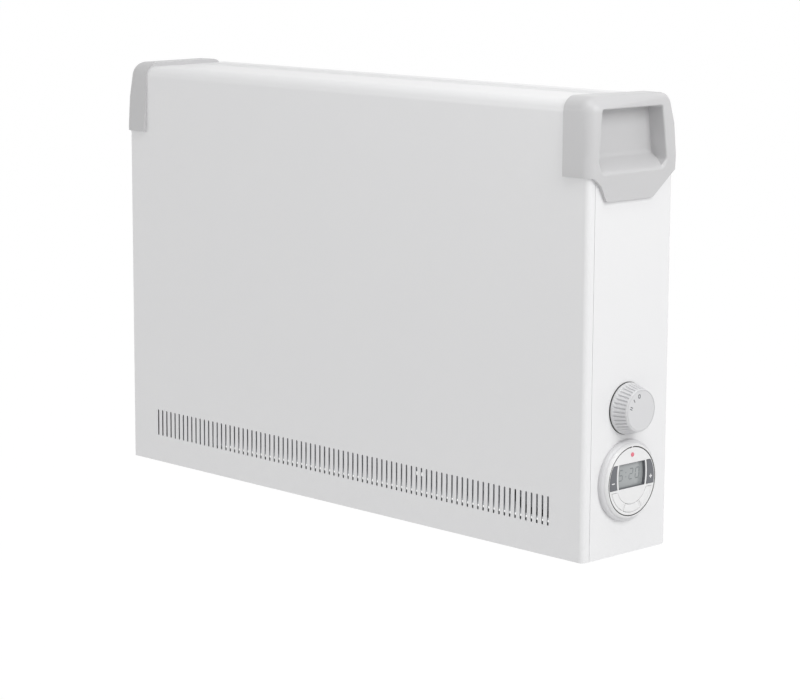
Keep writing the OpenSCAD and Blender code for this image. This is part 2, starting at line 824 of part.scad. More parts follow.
// Flat strip with round ends between two places on one level
module link_strip(y0, y1, z, r) {
    translate([y0, z - r]) square([y1 - y0, 2 * r]);
    for (y = [y0, y1]) translate([y, z]) circle(r);
}

// Heat limit switch through the right partition, facing the elements
module thermal_cutout() {
    flange_half = 11;
    can_len = 8;
    tag_half = 3;
    tag_end = can_len + sheet_t + 8;
    color(brass) on_wall() translate([partition_x, element_front_y, cutout_z]) {
        // Sensing face in the partition's hole, flange on the sheet and can behind it
        rotate([0, 90, 0]) translate([0, 0, -5]) cylinder(r = cutout_r, h = 5 + sheet_t);
        along_x(sheet_t, 2 * sheet_t) soft_rect([-flange_half, -flange_half], [flange_half, flange_half],
            [4, 4, 4, 4]);
        rotate([0, 90, 0]) translate([0, 0, sheet_t]) cylinder(r = cutout_r + 1, h = can_len);
        for (z = [-4, 4]) box([can_len + sheet_t, -tag_half, z - 0.4], [tag_end, tag_half, z + 0.4]);
    }
}

// Three way block for the mains lead, on the right partition
block_z = 205;
block_h = 36;
block_d = 18;
block_w = 22;
module terminal_block() {
    ways = 3;
    color(ceramic) on_wall() translate([partition_x + sheet_t, element_back_y, block_z]) difference() {
        box([0, -block_w / 2, 0], [block_d, block_w / 2, block_h]);
        for (i = [0 : ways - 1], side = [-1, 1])
            translate([block_d + overcut, side * block_w / 4, (i + 0.5) * block_h / ways]) rotate([0, -90, 0])
                cylinder(r = 2.5, h = 6);
        for (i = [1 : ways - 1])
            box([block_d - 5, -block_w, i * block_h / ways - 0.6],
                [block_d + 1, block_w, i * block_h / ways + 0.6]);
    }
}

// Earth stud with its nut and washer on the back panel
earth_x = partition_x + 22;
earth_z = 170;
module earth_stud() {
    color(brass) on_wall() translate([earth_x, back_front_y, earth_z]) rotate([90, 0, 0]) {
        cylinder(r = 6, h = 1);
        translate([0, 0, 1]) cylinder(r = 4, h = 3, $fn = 6);
        cylinder(r = 2, h = 12);
    }
}

// Flanged gland in the back panel with the bore for the mains lead
lead_r = 3.5;
module cable_gland() {
    flange_r = 11;
    color(black_rubber) on_wall() translate([gland_x, back_y, gland_z]) rotate([90, 0, 0]) difference() {
        union() {
            translate([0, 0, -3]) cylinder(r = flange_r, h = 3);
            translate([0, 0, -9]) cylinder(r1 = 6.5, r2 = 8, h = 6);
            cylinder(r = gland_hole_r, h = 10);
        }
        translate([0, 0, -10]) cylinder(r = lead_r + part_fit, h = 21);
    }
}

module gland_nut() {
    color(black_rubber) on_wall() translate([gland_x, back_front_y, gland_z]) rotate([90, 0, 0])
    difference() {
        cylinder(r = 12, h = 5, $fn = 6);
        translate([0, 0, -1]) cylinder(r = gland_hole_r + spindle_fit, h = 7);
    }
}

// Grommet where the mains lead passes the right partition
module lead_grommet() {
    color(black_rubber) on_wall() translate([partition_x, grommet_y, grommet_z]) rotate([0, 90, 0])
    difference() {
        union() {
            cylinder(r = grommet_hole_r, h = sheet_t);
            for (z = [-1.5, sheet_t]) translate([0, 0, z]) cylinder(r = grommet_hole_r + 2, h = 1.5);
        }
        translate([0, 0, -3]) cylinder(r = lead_r + spindle_fit, h = 8);
    }
}

// Mains lead inside the heater, from the gland to the terminal block
module mains_lead_inside() {
    inlet_y = back_front_y - 17;
    riser = [partition_x + 7, back_front_y - 9];
    run_x = gland_x + 36;
    block = [partition_x + sheet_t + block_d / 2, element_back_y + 5];
    route = [[gland_x, back_y - 1, gland_z], [gland_x, inlet_y, gland_z],
        [run_x, grommet_y, grommet_z], [riser.x, grommet_y, grommet_z],
        [riser.x, riser.y, grommet_z + 16], [riser.x, riser.y, block_z - 15],
        [block.x, block.y, block_z - 6], [block.x, block.y, block_z]];
    color(black_rubber) on_wall() swept_lead(curved(route, 3), lead_r, unit([2, 2, -1]));
}

// Leads from the elements' right ends to the outer tags of the selector switch
tag_x = inner_half - switch_depth - 3;
tag_rise = 10;
tag_half = 3;
module element_leads() {
    r = 1.5;
    ring = 4;
    color([0.6, 0.2, 0.15]) on_wall()
        for (way = [[element_front_y, -1], [element_back_y, 1]]) {
            translate([tag_x, way[0], element_z]) rotate([0, 90, 0]) difference() {
                cylinder(r = ring, h = 4, center = true);
                cylinder(r = stud_r + spindle_fit, h = 6, center = true);
            }
            lead([[tag_x, way[0], element_z + ring - 0.6], [tag_x, way[0], knob_z + way[1] * tag_rise],
                [tag_x, -control_y + way[1] * tag_half, knob_z + way[1] * tag_rise]], r);
        }
}

// Leads from the terminal block to the switch, to the timer and to the cut-out
module control_leads() {
    r = 1.4;
    x = partition_x + sheet_t + block_d / 2;
    x_low = partition_x + 6;
    y_block = element_back_y - block_w / 2;
    stub = 4;
    drop = 8;
    timer_entry = 17;
    upper_way = block_z + block_h * 5 / 6;
    lower_way = block_z + block_h / 6;
    y_timer = y_block - stub;
    tag_end = tag_x - 3;
    color([0.25, 0.35, 0.6]) on_wall() {
        lead([[x, y_block, upper_way], [x, y_block - stub, upper_way], [x_low, -control_y, upper_way - drop],
            [x_low, -control_y, knob_z], [tag_end, -control_y, knob_z]], r);
        lead([[x, y_block, lower_way], [x, y_timer, lower_way], [x_low, y_timer, lower_way - drop],
            [x_low, y_timer, timer_z + timer_entry], [case_back_x, y_timer, timer_z + timer_entry]], r);
    }
}

// Rotary switch behind the end panel, with its threaded bush through the panel
switch_half = 19;
bush_out_r = spindle_r + 2;
module selector_switch() {
    back_x = inner_half - switch_depth;
    color(white_plastic) on_wall() translate([0, -control_y, knob_z]) difference() {
        union() {
            along_x(back_x, inner_half)
                soft_rect([-switch_half, -switch_half], [switch_half, switch_half], [4, 4, 4, 4]);
            translate([inner_half, 0, 0]) rotate([0, 90, 0]) cylinder(r = bush_out_r, h = bush_len);
            for (z = [-10, 0, 10]) box([back_x - 6, -3, z - 0.4], [back_x + 1, 3, z + 0.4]);
        }
        translate([inner_half - 18, 0, 0]) rotate([0, 90, 0])
            cylinder(r = spindle_r + spindle_fit, h = 18 + bush_len + overcut);
    }
}

module switch_nut() {
    color(brass) on_wall() translate([end_x, -control_y, knob_z]) rotate([0, 90, 0]) difference() {
        cylinder(r = 8, h = 2.5, $fn = 6);
        translate([0, 0, -1]) cylinder(r = bush_out_r + spindle_fit, h = 5);
    }
}

// Spindle with a flat at its knob end
spindle_out = knob_gap + knob_len - 4;
flat_len = 5.5;
flat_cut = 0.8;
module selector_spindle() {
    spindle_back = inner_half - 17.5;
    color(brass) on_wall() translate([0, -control_y, knob_z]) difference() {
        translate([spindle_back, 0, 0]) rotate([0, 90, 0])
            cylinder(r = spindle_r, h = end_x + spindle_out - spindle_back);
        box([end_x + spindle_out - flat_len, -spindle_r, spindle_r - flat_cut],
            [end_x + spindle_out + 1, spindle_r, spindle_r + 1]);
    }
}

// Fluted knob, hollow behind, with a boss for the spindle
module selector_knob() {
    edge = 0.8;
    wall = 2.2;
    slope = atan2(knob_base_r - knob_face_r, knob_len);
    boss_r = spindle_r + 3;
    rib_t = 1.6;
    flat_z = spindle_out - knob_gap - flat_len;
    color(cap_grey) on_wall() translate([knob_back_x, -control_y, knob_z]) rotate([0, 90, 0]) difference() {
        union() {
            difference() {
                rotate_extrude() polygon(soft_points([[0, 0, 0], [knob_base_r, 0, 0.4],
                    [knob_base_r, 2, 0], [knob_face_r, knob_len, edge], [0, knob_len, 0]]));
                // Hollow behind the face
                rotate_extrude() polygon([[0, -1], [knob_base_r - wall, -1], [knob_base_r - wall, 2],
                    [knob_face_r - wall, knob_len - wall], [0, knob_len - wall]]);
            }
            cylinder(r = boss_r, h = knob_len - wall + 0.5);
            intersection() {
                for (turned = [0 : 60 : 120])
                    rotate(turned) box([-knob_base_r, -rib_t / 2, knob_len / 2],
                        [knob_base_r, rib_t / 2, knob_len - wall + 0.5]);
                cylinder(r1 = knob_base_r - 1, r2 = knob_face_r - 1, h = knob_len - 0.6);
            }
        }
        // Bore that keeps the spindle's flat
        difference() {
            translate([0, 0, -1])
                cylinder(r = spindle_r + spindle_fit, h = spindle_out - knob_gap + 1 + spindle_fit);
            box([-spindle_r - 1, -spindle_r - 1, flat_z + 0.2],
                [-spindle_r + flat_cut - spindle_fit, spindle_r + 1, spindle_out]);
        }
        // Clearance for the nut and the bush
        translate([0, 0, -1]) cylinder(r = 9, h = bush_len + 1.5);
        // Flutes round the side
        for (i = [0 : flute_count - 1]) rotate(i * 360 / flute_count)
            translate([knob_base_r + 0.3, 0, 2]) rotate([0, -slope, 0])
                translate([0, 0, knob_len * 0.12]) cylinder(r = flute_r, h = knob_len * 0.62);
    }
}

// Sloping grey ring on the end panel
module timer_trim_ring() {
    color(cap_grey) on_wall() translate([end_x, -control_y, timer_z]) rotate([0, 90, 0])
        rotate_extrude() polygon(soft_points([[case_r + part_fit, 0, 0], [trim_r - 0.4, 0, 0],
            [trim_r, 2, 0.8], [front_ring_r + 0.5, trim_h, 0.8], [case_r + part_fit, trim_h, 0]]));
}

// White bevelled ring that holds the face
module timer_front_ring() {
    seat_r = face_r + part_fit;
    ledge_r = case_r - case_wall;
    crest = face_h + 0.3;
    back_h = face_h - face_t;
    color(white_plastic) on_wall() translate([end_x, -control_y, timer_z]) rotate([0, 90, 0])
        rotate_extrude() polygon(soft_points([[ledge_r, trim_h, 0], [front_ring_r, trim_h, 0],
            [front_ring_r - 0.4, trim_h + 0.8, 0.6], [seat_r + 0.9, crest, 0.6], [seat_r, crest, 0.3],
            [seat_r, back_h, 0], [ledge_r, back_h, 0]]));
}

// Drawings on the timer's face: second axis up, first axis towards the wall
module divider_curve_2d(offset) {
    // Area between two shallow arcs, as wide as the window plus an offset on each side
    reach = divider_r - window_w / 2;
    intersection_for(side = [-1, 1]) translate([-side * reach, window_rise]) circle(divider_r + offset);
}

// One key beside the window, between the divider and the rim
module band_half_2d(side, gap) {
    difference() {
        intersection() {
            circle(face_r - 1.2 - gap);
            translate([side > 0 ? 0 : -face_r, band_low + gap]) square([face_r, window_h - 2 * gap]);
        }
        divider_curve_2d(divider_w + gap);
    }
}

// Key number -1, 0 or 1 in the lower half of the face
module arc_key_2d(number, gap) {
    from = number < 0 ? 180 : 270 + (2 * number - 1) * arc_half + arc_gap_deg;
    to = number > 0 ? 360 : 270 + (2 * number + 1) * arc_half - arc_gap_deg;
    reach = 3 * arc_out_r;
    difference() {
        intersection() {
            circle(arc_out_r - gap);
            polygon([[0, 0], reach * [cos(from), sin(from)],
                reach * [cos((from + to) / 2), sin((from + to) / 2)], reach * [cos(to), sin(to)]]);
            translate([-reach, arc_top - gap - 2 * reach]) square(2 * reach);
        }
        circle(arc_in_r + gap);
        if (number >= 0) rotate(from) translate([0, -overcut]) square([reach, gap + overcut]);
        if (number <= 0) rotate(to) translate([0, -gap]) square([reach, gap + overcut]);
    }
}

module face_drawing(x0, x1) {
    translate([0, -control_y, timer_z]) along_x(x0, x1) children();
}

// White disc with the window and the openings of the keys
module timer_face() {
    color(white_plastic) on_wall() difference() {
        face_drawing(face_back_x, face_front_x) circle(face_r);
        face_drawing(face_back_x - 1, face_front_x + 1) {
            intersection() {
                translate([0, window_rise]) square([window_w + 2, window_h], center = true);
                divider_curve_2d(0);
            }
            band_half_2d(-1, 0);
            band_half_2d(1, 0);
            for (number = [-1 : 1]) arc_key_2d(number, 0);
            translate([0, lamp_rise]) circle(lamp_r + 0.05);
        }
    }
}
lamp_rise = 26;
lamp_r = 1.9;

// A key: its cap in the face, a flange behind it and a stem to its switch
module key_form(stem_at) {
    face_drawing(face_back_x - key_slack - key_flange_t, face_front_x + key_proud) children(0);
    face_drawing(stem_front_x, stem_front_x + key_flange_t) children(1);
    translate([stem_front_x - stem_len, stem_at.x - control_y, timer_z + stem_at.y]) rotate([0, 90, 0])
        cylinder(r = 1.2, h = stem_len + 0.5);
}

side_stem = (face_r + divider_out) / 2 - 0.4;
function arc_stem(number) = let (a = 270 + number * (2 * arc_half - 4), r = (arc_in_r + arc_out_r) / 2)
    r * [cos(a), sin(a)];

module side_key(side) {
    widen = key_flange_w - key_slack;
    key_form([side * side_stem, window_rise - 4]) {
        band_half_2d(side, key_gap);
        difference() {
            intersection() {
                circle(case_r - case_wall - key_slack);
                translate([side > 0 ? 0 : -face_r, band_low - widen]) square([face_r, window_h + 2 * widen]);
            }
            divider_curve_2d(divider_w - widen);
        }
    }
}

module arc_key(number) {
    key_form(arc_stem(number)) {
        arc_key_2d(number, key_gap);
        arc_key_2d(number, key_gap - key_flange_w + 0.2);
    }
}

module minus_key() {
    color(key_grey) on_wall() side_key(-1);
}

module plus_key() {
    color(key_grey) on_wall() side_key(1);
}

module left_arc_key() {
    color(white_plastic) on_wall() arc_key(-1);
}

module middle_arc_key() {
    color(white_plastic) on_wall() arc_key(0);
}

module right_arc_key() {
    color(white_plastic) on_wall() arc_key(1);
}

// Cup behind the end panel with a ledge for the board and four snap lugs
module timer_case() {
    ledge = 2;
    color(white_plastic) on_wall() translate([0, -control_y, timer_z]) {
        translate([case_back_x, 0, 0]) rotate([0, 90, 0]) rotate_extrude() polygon([[0, 0], [case_r, 0],
            [case_r, ring_joint_x - case_back_x], [case_r - case_wall, ring_joint_x - case_back_x],
            [case_r - case_wall, board_x - case_back_x], [case_r - case_wall - ledge, board_x - case_back_x],
            [case_r - case_wall - ledge, board_x - case_back_x - 2],
            [case_r - case_wall, board_x - case_back_x - 5],
            [case_r - case_wall, case_wall], [0, case_wall]]);
        for (turned = [45 : 90 : 315]) rotate([turned, 0, 0])
            box([inner_half - 3, -4, case_r - 0.5], [inner_half, 4, case_r + 1.6]);
    }
}

module timer_board() {
    color(board_green) on_wall() face_drawing(board_x, board_x + board_t)
        circle(case_r - case_wall - part_fit);
}

// Display module standing on the board, its glass just behind the face
module timer_display() {
    depth = face_back_x - part_fit - board_x - board_t;
    frame = 0.7;
    color(display_grey) on_wall() face_drawing(board_x + board_t, board_x + board_t + depth) intersection() {
        translate([0, window_rise]) square([window_w, window_h] + [2 * frame, 2 * frame], center = true);
        divider_curve_2d(frame);
    }
}

module status_lamp() {
    color(lamp_red) on_wall() translate([board_x + board_t, -control_y, timer_z + lamp_rise])
        rotate([0, 90, 0]) cylinder(r = lamp_r, h = face_front_x - board_x - board_t);
}

// Five push switches on the board, one behind each key
module key_switches() {
    half = 2.2;
    body = 1.8;
    places = concat([for (side = [-1, 1]) [side * side_stem, window_rise - 4]],
        [for (number = [-1 : 1]) arc_stem(number)]);
    color(black_rubber) on_wall() translate([board_x + board_t, -control_y, timer_z])
        for (p = places) translate([0, p.x, p.y]) {
            box([0, -half, -half], [body, half, half]);
            rotate([0, 90, 0]) cylinder(r = 1.2, h = switch_top_x - board_x - board_t);
        }
}

module timer_relay() {
    color(black_rubber) on_wall() translate([board_x, -control_y, timer_z])
        box([-15, -12, -9], [0, 12, 8]);
}

// Pressed bracket: a rail with two hooks and two legs, screwed to the wall
module wall_bracket() {
    strip = 30;
    rail_half = hook_x + hook_w / 2 + 10;
    lip_y = back_front_y - hook_clear;
    color(zinc) on_wall() difference() {
        union() {
            box([-rail_half, -bracket_t, rail_low], [rail_half, 0, tongue_z]);
            for (side = [-1, 1]) {
                x = side * screw_span_x / 2;
                box([x - strip / 2, -bracket_t, foot_z], [x + strip / 2, 0, rail_low]);
                // Foot that keeps the back panel off the wall
                box([x - strip / 2, back_y, foot_z - bracket_t], [x + strip / 2, 0, foot_z]);
                box([x - strip / 2, back_y, foot_z - 16], [x + strip / 2, back_y + bracket_t, foot_z]);
                // Hook: a tongue through the back panel and a lip behind it
                box([side * hook_x - hook_w / 2, lip_y - bracket_t, tongue_z],
                    [side * hook_x + hook_w / 2, 0, tongue_z + bracket_t]);
                box([side * hook_x - hook_w / 2, lip_y - bracket_t, tongue_z],
                    [side * hook_x + hook_w / 2, lip_y, tongue_z + bracket_t + hook_lip]);
            }
        }
        for (side = [-1, 1], z = [lower_screw_z, lower_screw_z + screw_span_z])
            translate([side * screw_span_x / 2, overcut, z]) rotate([90, 0, 0])
                cylinder(r = wall_hole_r, h = bracket_t + 2 * overcut);
    }
}

// Screws from below that hold the casing and the end panels to the bottom grille
module casing_screws() {
    color(zinc) on_wall() for (place = casing_screw_places)
        translate([place.x, place.y, 0]) pan_screw(screw_head_r, low_head_h, screw_r, casing_screw_len);
}

// Screws that hold the partitions to the back panel
module partition_screws() {
    color(zinc) on_wall() for (side = [-1, 1], z = partition_screw_zs)
        translate([side * partition_screw_x, back_y, z]) rotate([90, 0, 0])
            pan_screw(screw_head_r, screw_head_h, screw_r, partition_screw_len);
}

// Screws through the end panels' top flanges into the bosses of the handle caps
module cap_screws() {
    color(zinc) on_wall() for (side = [-1, 1], place = boss_places) at_end(side)
        translate([place.x, place.y, seat_z - sheet_t])
            pan_screw(screw_head_r, screw_head_h, screw_r, sheet_t + boss_bore);
}

front_casing();
left_end_panel();
right_end_panel();
back_panel();
bottom_grille();
left_handle_cap();
right_handle_cap();
left_partition();
right_partition();
heat_baffle();
front_element();
rear_element();
element_bushes();
element_link();
thermal_cutout();
terminal_block();
earth_stud();
cable_gland();
gland_nut();
lead_grommet();
mains_lead_inside();
element_leads();
control_leads();
selector_switch();
switch_nut();
selector_spindle();
selector_knob();
timer_trim_ring();
timer_front_ring();
timer_face();
timer_case();
timer_board();
timer_display();
status_lamp();
key_switches();
timer_relay();
minus_key();
plus_key();
left_arc_key();
middle_arc_key();
right_arc_key();
wall_bracket();
casing_screws();
partition_screws();
cap_screws();
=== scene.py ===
import json
import math
import bmesh
import bpy
from mathutils import Matrix, Vector

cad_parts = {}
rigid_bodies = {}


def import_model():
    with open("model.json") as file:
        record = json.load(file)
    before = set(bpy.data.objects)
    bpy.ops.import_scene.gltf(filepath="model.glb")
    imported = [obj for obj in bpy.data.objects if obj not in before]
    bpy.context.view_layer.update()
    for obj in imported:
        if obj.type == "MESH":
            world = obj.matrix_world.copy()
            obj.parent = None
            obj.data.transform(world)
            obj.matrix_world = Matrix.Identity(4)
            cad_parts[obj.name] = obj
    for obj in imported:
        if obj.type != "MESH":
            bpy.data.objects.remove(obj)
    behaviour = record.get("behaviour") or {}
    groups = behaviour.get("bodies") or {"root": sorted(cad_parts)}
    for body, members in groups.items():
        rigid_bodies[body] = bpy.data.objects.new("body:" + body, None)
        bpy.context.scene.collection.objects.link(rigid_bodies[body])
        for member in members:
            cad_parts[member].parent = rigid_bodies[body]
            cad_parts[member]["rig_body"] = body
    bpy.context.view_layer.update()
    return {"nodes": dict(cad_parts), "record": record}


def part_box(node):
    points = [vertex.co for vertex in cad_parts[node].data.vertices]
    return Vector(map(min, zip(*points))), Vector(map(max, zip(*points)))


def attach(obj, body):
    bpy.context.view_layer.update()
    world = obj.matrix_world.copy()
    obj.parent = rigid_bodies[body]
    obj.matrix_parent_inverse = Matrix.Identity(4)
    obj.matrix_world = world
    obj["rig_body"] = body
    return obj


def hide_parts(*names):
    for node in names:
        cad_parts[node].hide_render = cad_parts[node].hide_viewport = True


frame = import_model()

# A millimetre in metres, and a whole turn
MM = 0.001
WHEEL = 2 * math.pi
# Radius of the timer's face, and the middle of its lamp, in millimetres
FACE_R = 32.9
LAMP_AT = (0, 26)


def put_in_scene(name, data):
    """A new object that holds some data."""
    piece = bpy.data.objects.new(name, data)
    bpy.context.scene.collection.objects.link(piece)
    return piece


def plain_mesh(piece):
    """The mesh that an object's modifiers or outlines make; the object itself goes."""
    bpy.context.view_layer.update()
    shown = piece.evaluated_get(bpy.context.evaluated_depsgraph_get())
    mesh = bpy.data.meshes.new_from_object(shown)
    piece.modifiers.clear()
    bpy.data.objects.remove(piece)
    return mesh


def set_up_camera():
    """The camera stands right of the heater and a little above it, as in the photograph."""
    turn, lift, roll = (math.radians(d) for d in (45.668, 9.854, 0.264))
    place = Vector((1.95907, -1.94592, 0.41793))
    back = Vector((math.sin(turn) * math.cos(lift), -math.cos(turn) * math.cos(lift), math.sin(lift)))
    right = Vector((0, 0, 1)).cross(back).normalized()
    up = back.cross(right)
    level_right = right * math.cos(roll) + up * math.sin(roll)
    level_up = up * math.cos(roll) - right * math.sin(roll)
    lens = bpy.data.cameras.new("front_right_camera")
    lens.lens = 119.248
    lens.sensor_width = 36
    lens.clip_end = 200
    camera = put_in_scene("front_right_camera", lens)
    pose = Matrix((level_right, level_up, back)).transposed().to_4x4()
    pose.translation = place
    camera.matrix_world = pose
    bpy.context.scene.camera = camera
    bpy.context.scene.view_settings.view_transform = "Standard"


class Worth:
    """A number on a wire of a node tree, with which sums are written as in Python."""

    def __init__(self, wiring, socket):
        self.wiring = wiring
        self.socket = socket

    def sum_with(self, operation, first, second=None):
        """Adds one step of arithmetic and gives its result."""
        inputs = {0: first} if second is None else {0: first, 1: second}
        return self.wiring.node("ShaderNodeMath", {"operation": operation}, inputs)

    def __add__(self, other):
        return self.sum_with("ADD", self, other)

    def __radd__(self, other):
        return self.sum_with("ADD", other, self)

    def __sub__(self, other):
        return self.sum_with("SUBTRACT", self, other)

    def __rsub__(self, other):
        return self.sum_with("SUBTRACT", other, self)

    def __mul__(self, other):
        return self.sum_with("MULTIPLY", self, other)

    def __rmul__(self, other):
        return self.sum_with("MULTIPLY", other, self)

    def __truediv__(self, other):
        return self.sum_with("DIVIDE", self, other)

    def __pow__(self, other):
        return self.sum_with("POWER", self, other)

    def __gt__(self, other):
        return self.sum_with("GREATER_THAN", self, other)

    def __lt__(self, other):
        return self.sum_with("LESS_THAN", self, other)

    def __abs__(self):
        return self.sum_with("ABSOLUTE", self)

    def at_least(self, least):
        """The larger of this number and another."""
        return self.sum_with("MAXIMUM", self, least)


class Wiring:
    """A node tree, empty at first, with the one method that adds nodes to it."""

    def __init__(self, tree):
        self.tree = tree
        tree.nodes.clear()

    def node(self, kind, settings, inputs, output=0):
        """Adds a node, sets it up and fills its sockets with values or wires. Gives its output, or
        the node itself where it has none."""
        made = self.tree.nodes.new(kind)
        for setting, value in settings.items():
            setattr(made, setting, value)
        for socket, value in inputs.items():
            if isinstance(value, Worth):
                self.tree.links.new(value.socket, made.inputs[socket])
            else:
                made.inputs[socket].default_value = value
        return Worth(self, made.outputs[output]) if made.outputs else made

    def parts_of(self, place):
        """The three parts of a place, along X, Y and Z."""
        parts = self.node("ShaderNodeSeparateXYZ", {}, {0: place})
        return [Worth(self, part) for part in parts.socket.node.outputs]

    def seen_rays(self):
        """One for what the camera sees straight, mirrored or through something, and else nought."""
        straight = self.node("ShaderNodeLightPath", {}, {}, "Is Camera Ray")
        rays = straight.socket.node.outputs
        seen = straight.at_least(Worth(self, rays["Is Glossy Ray"]))
        return seen.at_least(Worth(self, rays["Is Transmission Ray"]))


class Pattern(Wiring):
    """A Geometry Nodes tree of the heater's own: what repeats on it, with its sizes as named inputs."""

    def __init__(self, name, sizes):
        super().__init__(bpy.data.node_groups.new(name, "GeometryNodeTree"))
        self.tree.is_modifier = True
        kinds = {float: "NodeSocketFloat", int: "NodeSocketInt", tuple: "NodeSocketVector"}
        sockets = self.tree.interface
        sockets.new_socket("Geometry", in_out="INPUT", socket_type="NodeSocketGeometry")
        sockets.new_socket("Geometry", in_out="OUTPUT", socket_type="NodeSocketGeometry")
        self.sizes = sizes
        self.keys = {}
        for size, value in sizes.items():
            kind = kinds.get(type(value), "NodeSocketObject")
            self.keys[size] = sockets.new_socket(size, in_out="INPUT", socket_type=kind).identifier
        self.start = self.node("NodeGroupInput", {}, {}, "Geometry")

    def size(self, name):
        """One of the named inputs."""
        return Worth(self, self.start.socket.node.outputs[name])

    def make(self, result, start_mesh, material):
        """Ends the tree, runs it on a mesh and gives what comes out as a plain mesh."""
        whole = self.node("GeometryNodeRealizeInstances", {}, {0: result})
        finished = self.node("GeometryNodeSetMaterial", {}, {"Geometry": whole, "Material": material})
        self.node("NodeGroupOutput", {}, {0: finished})
        holder = put_in_scene(start_mesh.name, start_mesh)
        modifier = holder.modifiers.new(self.tree.name, "NODES")
        modifier.node_group = self.tree
        for size, value in self.sizes.items():
            modifier[self.keys[size]] = value
        return plain_mesh(holder)


class Finish(Wiring):
    """One finish of the heater: a material with one surface shader and what varies over it."""

    def __init__(self, name, colour, roughness, metallic=0.0, coat=0.0, coat_roughness=0.1):
        self.material = bpy.data.materials.new(name)
        self.material.use_nodes = True
        super().__init__(self.material.node_tree)
        self.colour = colour
        self.out = self.node("ShaderNodeOutputMaterial", {}, {})
        self.surface = self.node("ShaderNodeBsdfPrincipled", {}, {
            "Base Color": (*colour, 1), "Roughness": roughness, "Metallic": metallic,
            "Coat Weight": coat, "Coat Roughness": coat_roughness})
        self.show(self.surface)
        self.place = self.node("ShaderNodeTexCoord", {}, {}, "Object")

    def show(self, shader):
        """Joins a shader to the material's output."""
        self.tree.links.new(shader.socket, self.out.inputs[0])

    def feed(self, socket, value):
        """Joins a varying value to a socket of the surface shader."""
        self.tree.links.new(value.socket, self.surface.socket.node.inputs[socket])

    def noise(self, scale, detail, stretch=(1, 1, 1)):
        """Soft blotches, longer along one way if stretched."""
        where = self.node("ShaderNodeMapping", {}, {"Vector": self.place, "Scale": stretch})
        return self.node("ShaderNodeTexNoise", {},
                         {"Vector": where, "Scale": scale, "Detail": detail}, "Fac")

    def cells(self, scale, output="Distance"):
        """Small cells: how far their middles are, or a colour for each."""
        return self.node("ShaderNodeTexVoronoi", {}, {"Vector": self.place, "Scale": scale}, output)

    def mixed(self, amount, first, second, way="MIX"):
        """One colour with an amount of another mixed in, or multiplied by it."""
        first, second = (c if isinstance(c, Worth) else (*c, 1) for c in (first, second))
        return self.node("ShaderNodeMix", {"data_type": "RGBA", "blend_type": way},
                         {0: amount, 6: first, 7: second}, 2)

    def tint(self, shade):
        """Gives the surface the finish's colour, multiplied by a shade."""
        self.feed("Base Color", self.mixed(1.0, self.colour, shade, "MULTIPLY"))

    def shade(self, amount, darkest):
        """Gives the surface the finish's colour, darker where the amount is low."""
        self.tint(self.mixed(amount, darkest, (1, 1, 1)))

    def bump(self, height, strength, distance):
        """Raises and sinks the surface by a varying height."""
        self.feed("Normal", self.node("ShaderNodeBump", {},
                                      {"Strength": strength, "Distance": distance, "Height": height}))


def enamel():
    """Baked white enamel on sheet steel: a faint orange peel, a little unevenness in its gloss, and a very
    dark inner face that is partly primer and partly painted shade inside the slots.
    """
    f = Finish("white_enamel", (0.86, 0.86, 0.865), 0.34, coat=0.15, coat_roughness=0.2)
    primer_and_slot_shade = (0.17, 0.175, 0.18)
    peel = f.noise(420, 2.0)
    broad = f.noise(7, 2.0)
    x, y, z = f.parts_of(f.place)
    low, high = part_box("front_casing")
    bend_r, corner_r, skin, clear = 12 * MM, 5 * MM, 0.4 * MM, 3 * MM

    def within(first, second, radius):
        """One where a place is deeper in the sheet than the skin of enamel, and else nought."""
        first, second = first.at_least(0.0), second.at_least(0.0)
        return (first * first + second * second) ** 0.5 < radius - skin

    # Behind the front's own skin, as in its slots, the steel has its primer, made very dark so that it also
    # paints the shade inside the slots
    inside_with_slot_shade = within((low[1] + bend_r) - y, z - (high[2] - bend_r), bend_r)
    inside_with_slot_shade = inside_with_slot_shade * within(abs(x) - (high[0] - corner_r), (low[1] + corner_r) - y, corner_r)
    inside_with_slot_shade = inside_with_slot_shade * (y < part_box("right_end_panel")[0][1] - clear)
    tone = f.mixed(broad, (0.985, 0.985, 0.99), (1, 1, 1))
    f.tint(f.mixed(inside_with_slot_shade, tone, primer_and_slot_shade))
    f.feed("Roughness", 0.3 + broad * 0.09 + inside_with_slot_shade * 0.3)
    f.bump(peel, 0.12, 0.0003)
    return f.material


def moulded(name, colour, roughness, grain=1500, depth=0.00006, coat=0.0):
    """Moulded plastic with the fine grain of an etched mould."""
    f = Finish(name, colour, roughness, coat=coat)
    pits = f.cells(grain)
    broad = f.noise(14, 2.0)
    f.shade(broad, (0.97, 0.97, 0.975))
    f.feed("Roughness", (roughness - 0.05) + broad * 0.1)
    f.bump(pits, 0.25, depth)
    return f.material


def plated(name, colour, roughness):
    """Plated steel with its crystals, each a shade and a gloss of its own."""
    f = Finish(name, colour, roughness, metallic=1.0)
    grains = f.cells(70, "Color")
    split = f.node("ShaderNodeSeparateColor", {}, {0: grains})
    fine = f.noise(300, 3.0)
    f.shade(split * 0.7 + fine * 0.3, (0.84, 0.85, 0.87))
    f.feed("Roughness", (roughness - 0.08) + split * 0.12 + fine * 0.06)
    f.bump(fine, 0.1, 0.0001)
    return f.material


def drawn(name, colour, roughness, along=(1, 60, 60)):
    """Drawn or extruded metal with lines along its length."""
    f = Finish(name, colour, roughness, metallic=1.0)
    lines = f.noise(60, 3.0, along)
    f.shade(lines, (0.86, 0.86, 0.86))
    f.feed("Roughness", (roughness - 0.06) + lines * 0.14)
    f.bump(lines, 0.15, 0.0001)
    return f.material


def dull(name, colour, roughness):
    """Rubber, ceramic or board: matt, with a fine uneven face."""
    f = Finish(name, colour, roughness)
    rough = f.noise(500, 4.0)
    broad = f.noise(30, 2.0)
    f.shade(broad, (0.85, 0.85, 0.85))
    f.feed("Roughness", (roughness - 0.05) + rough * 0.1)
    f.bump(rough, 0.3, 0.0001)
    return f.material


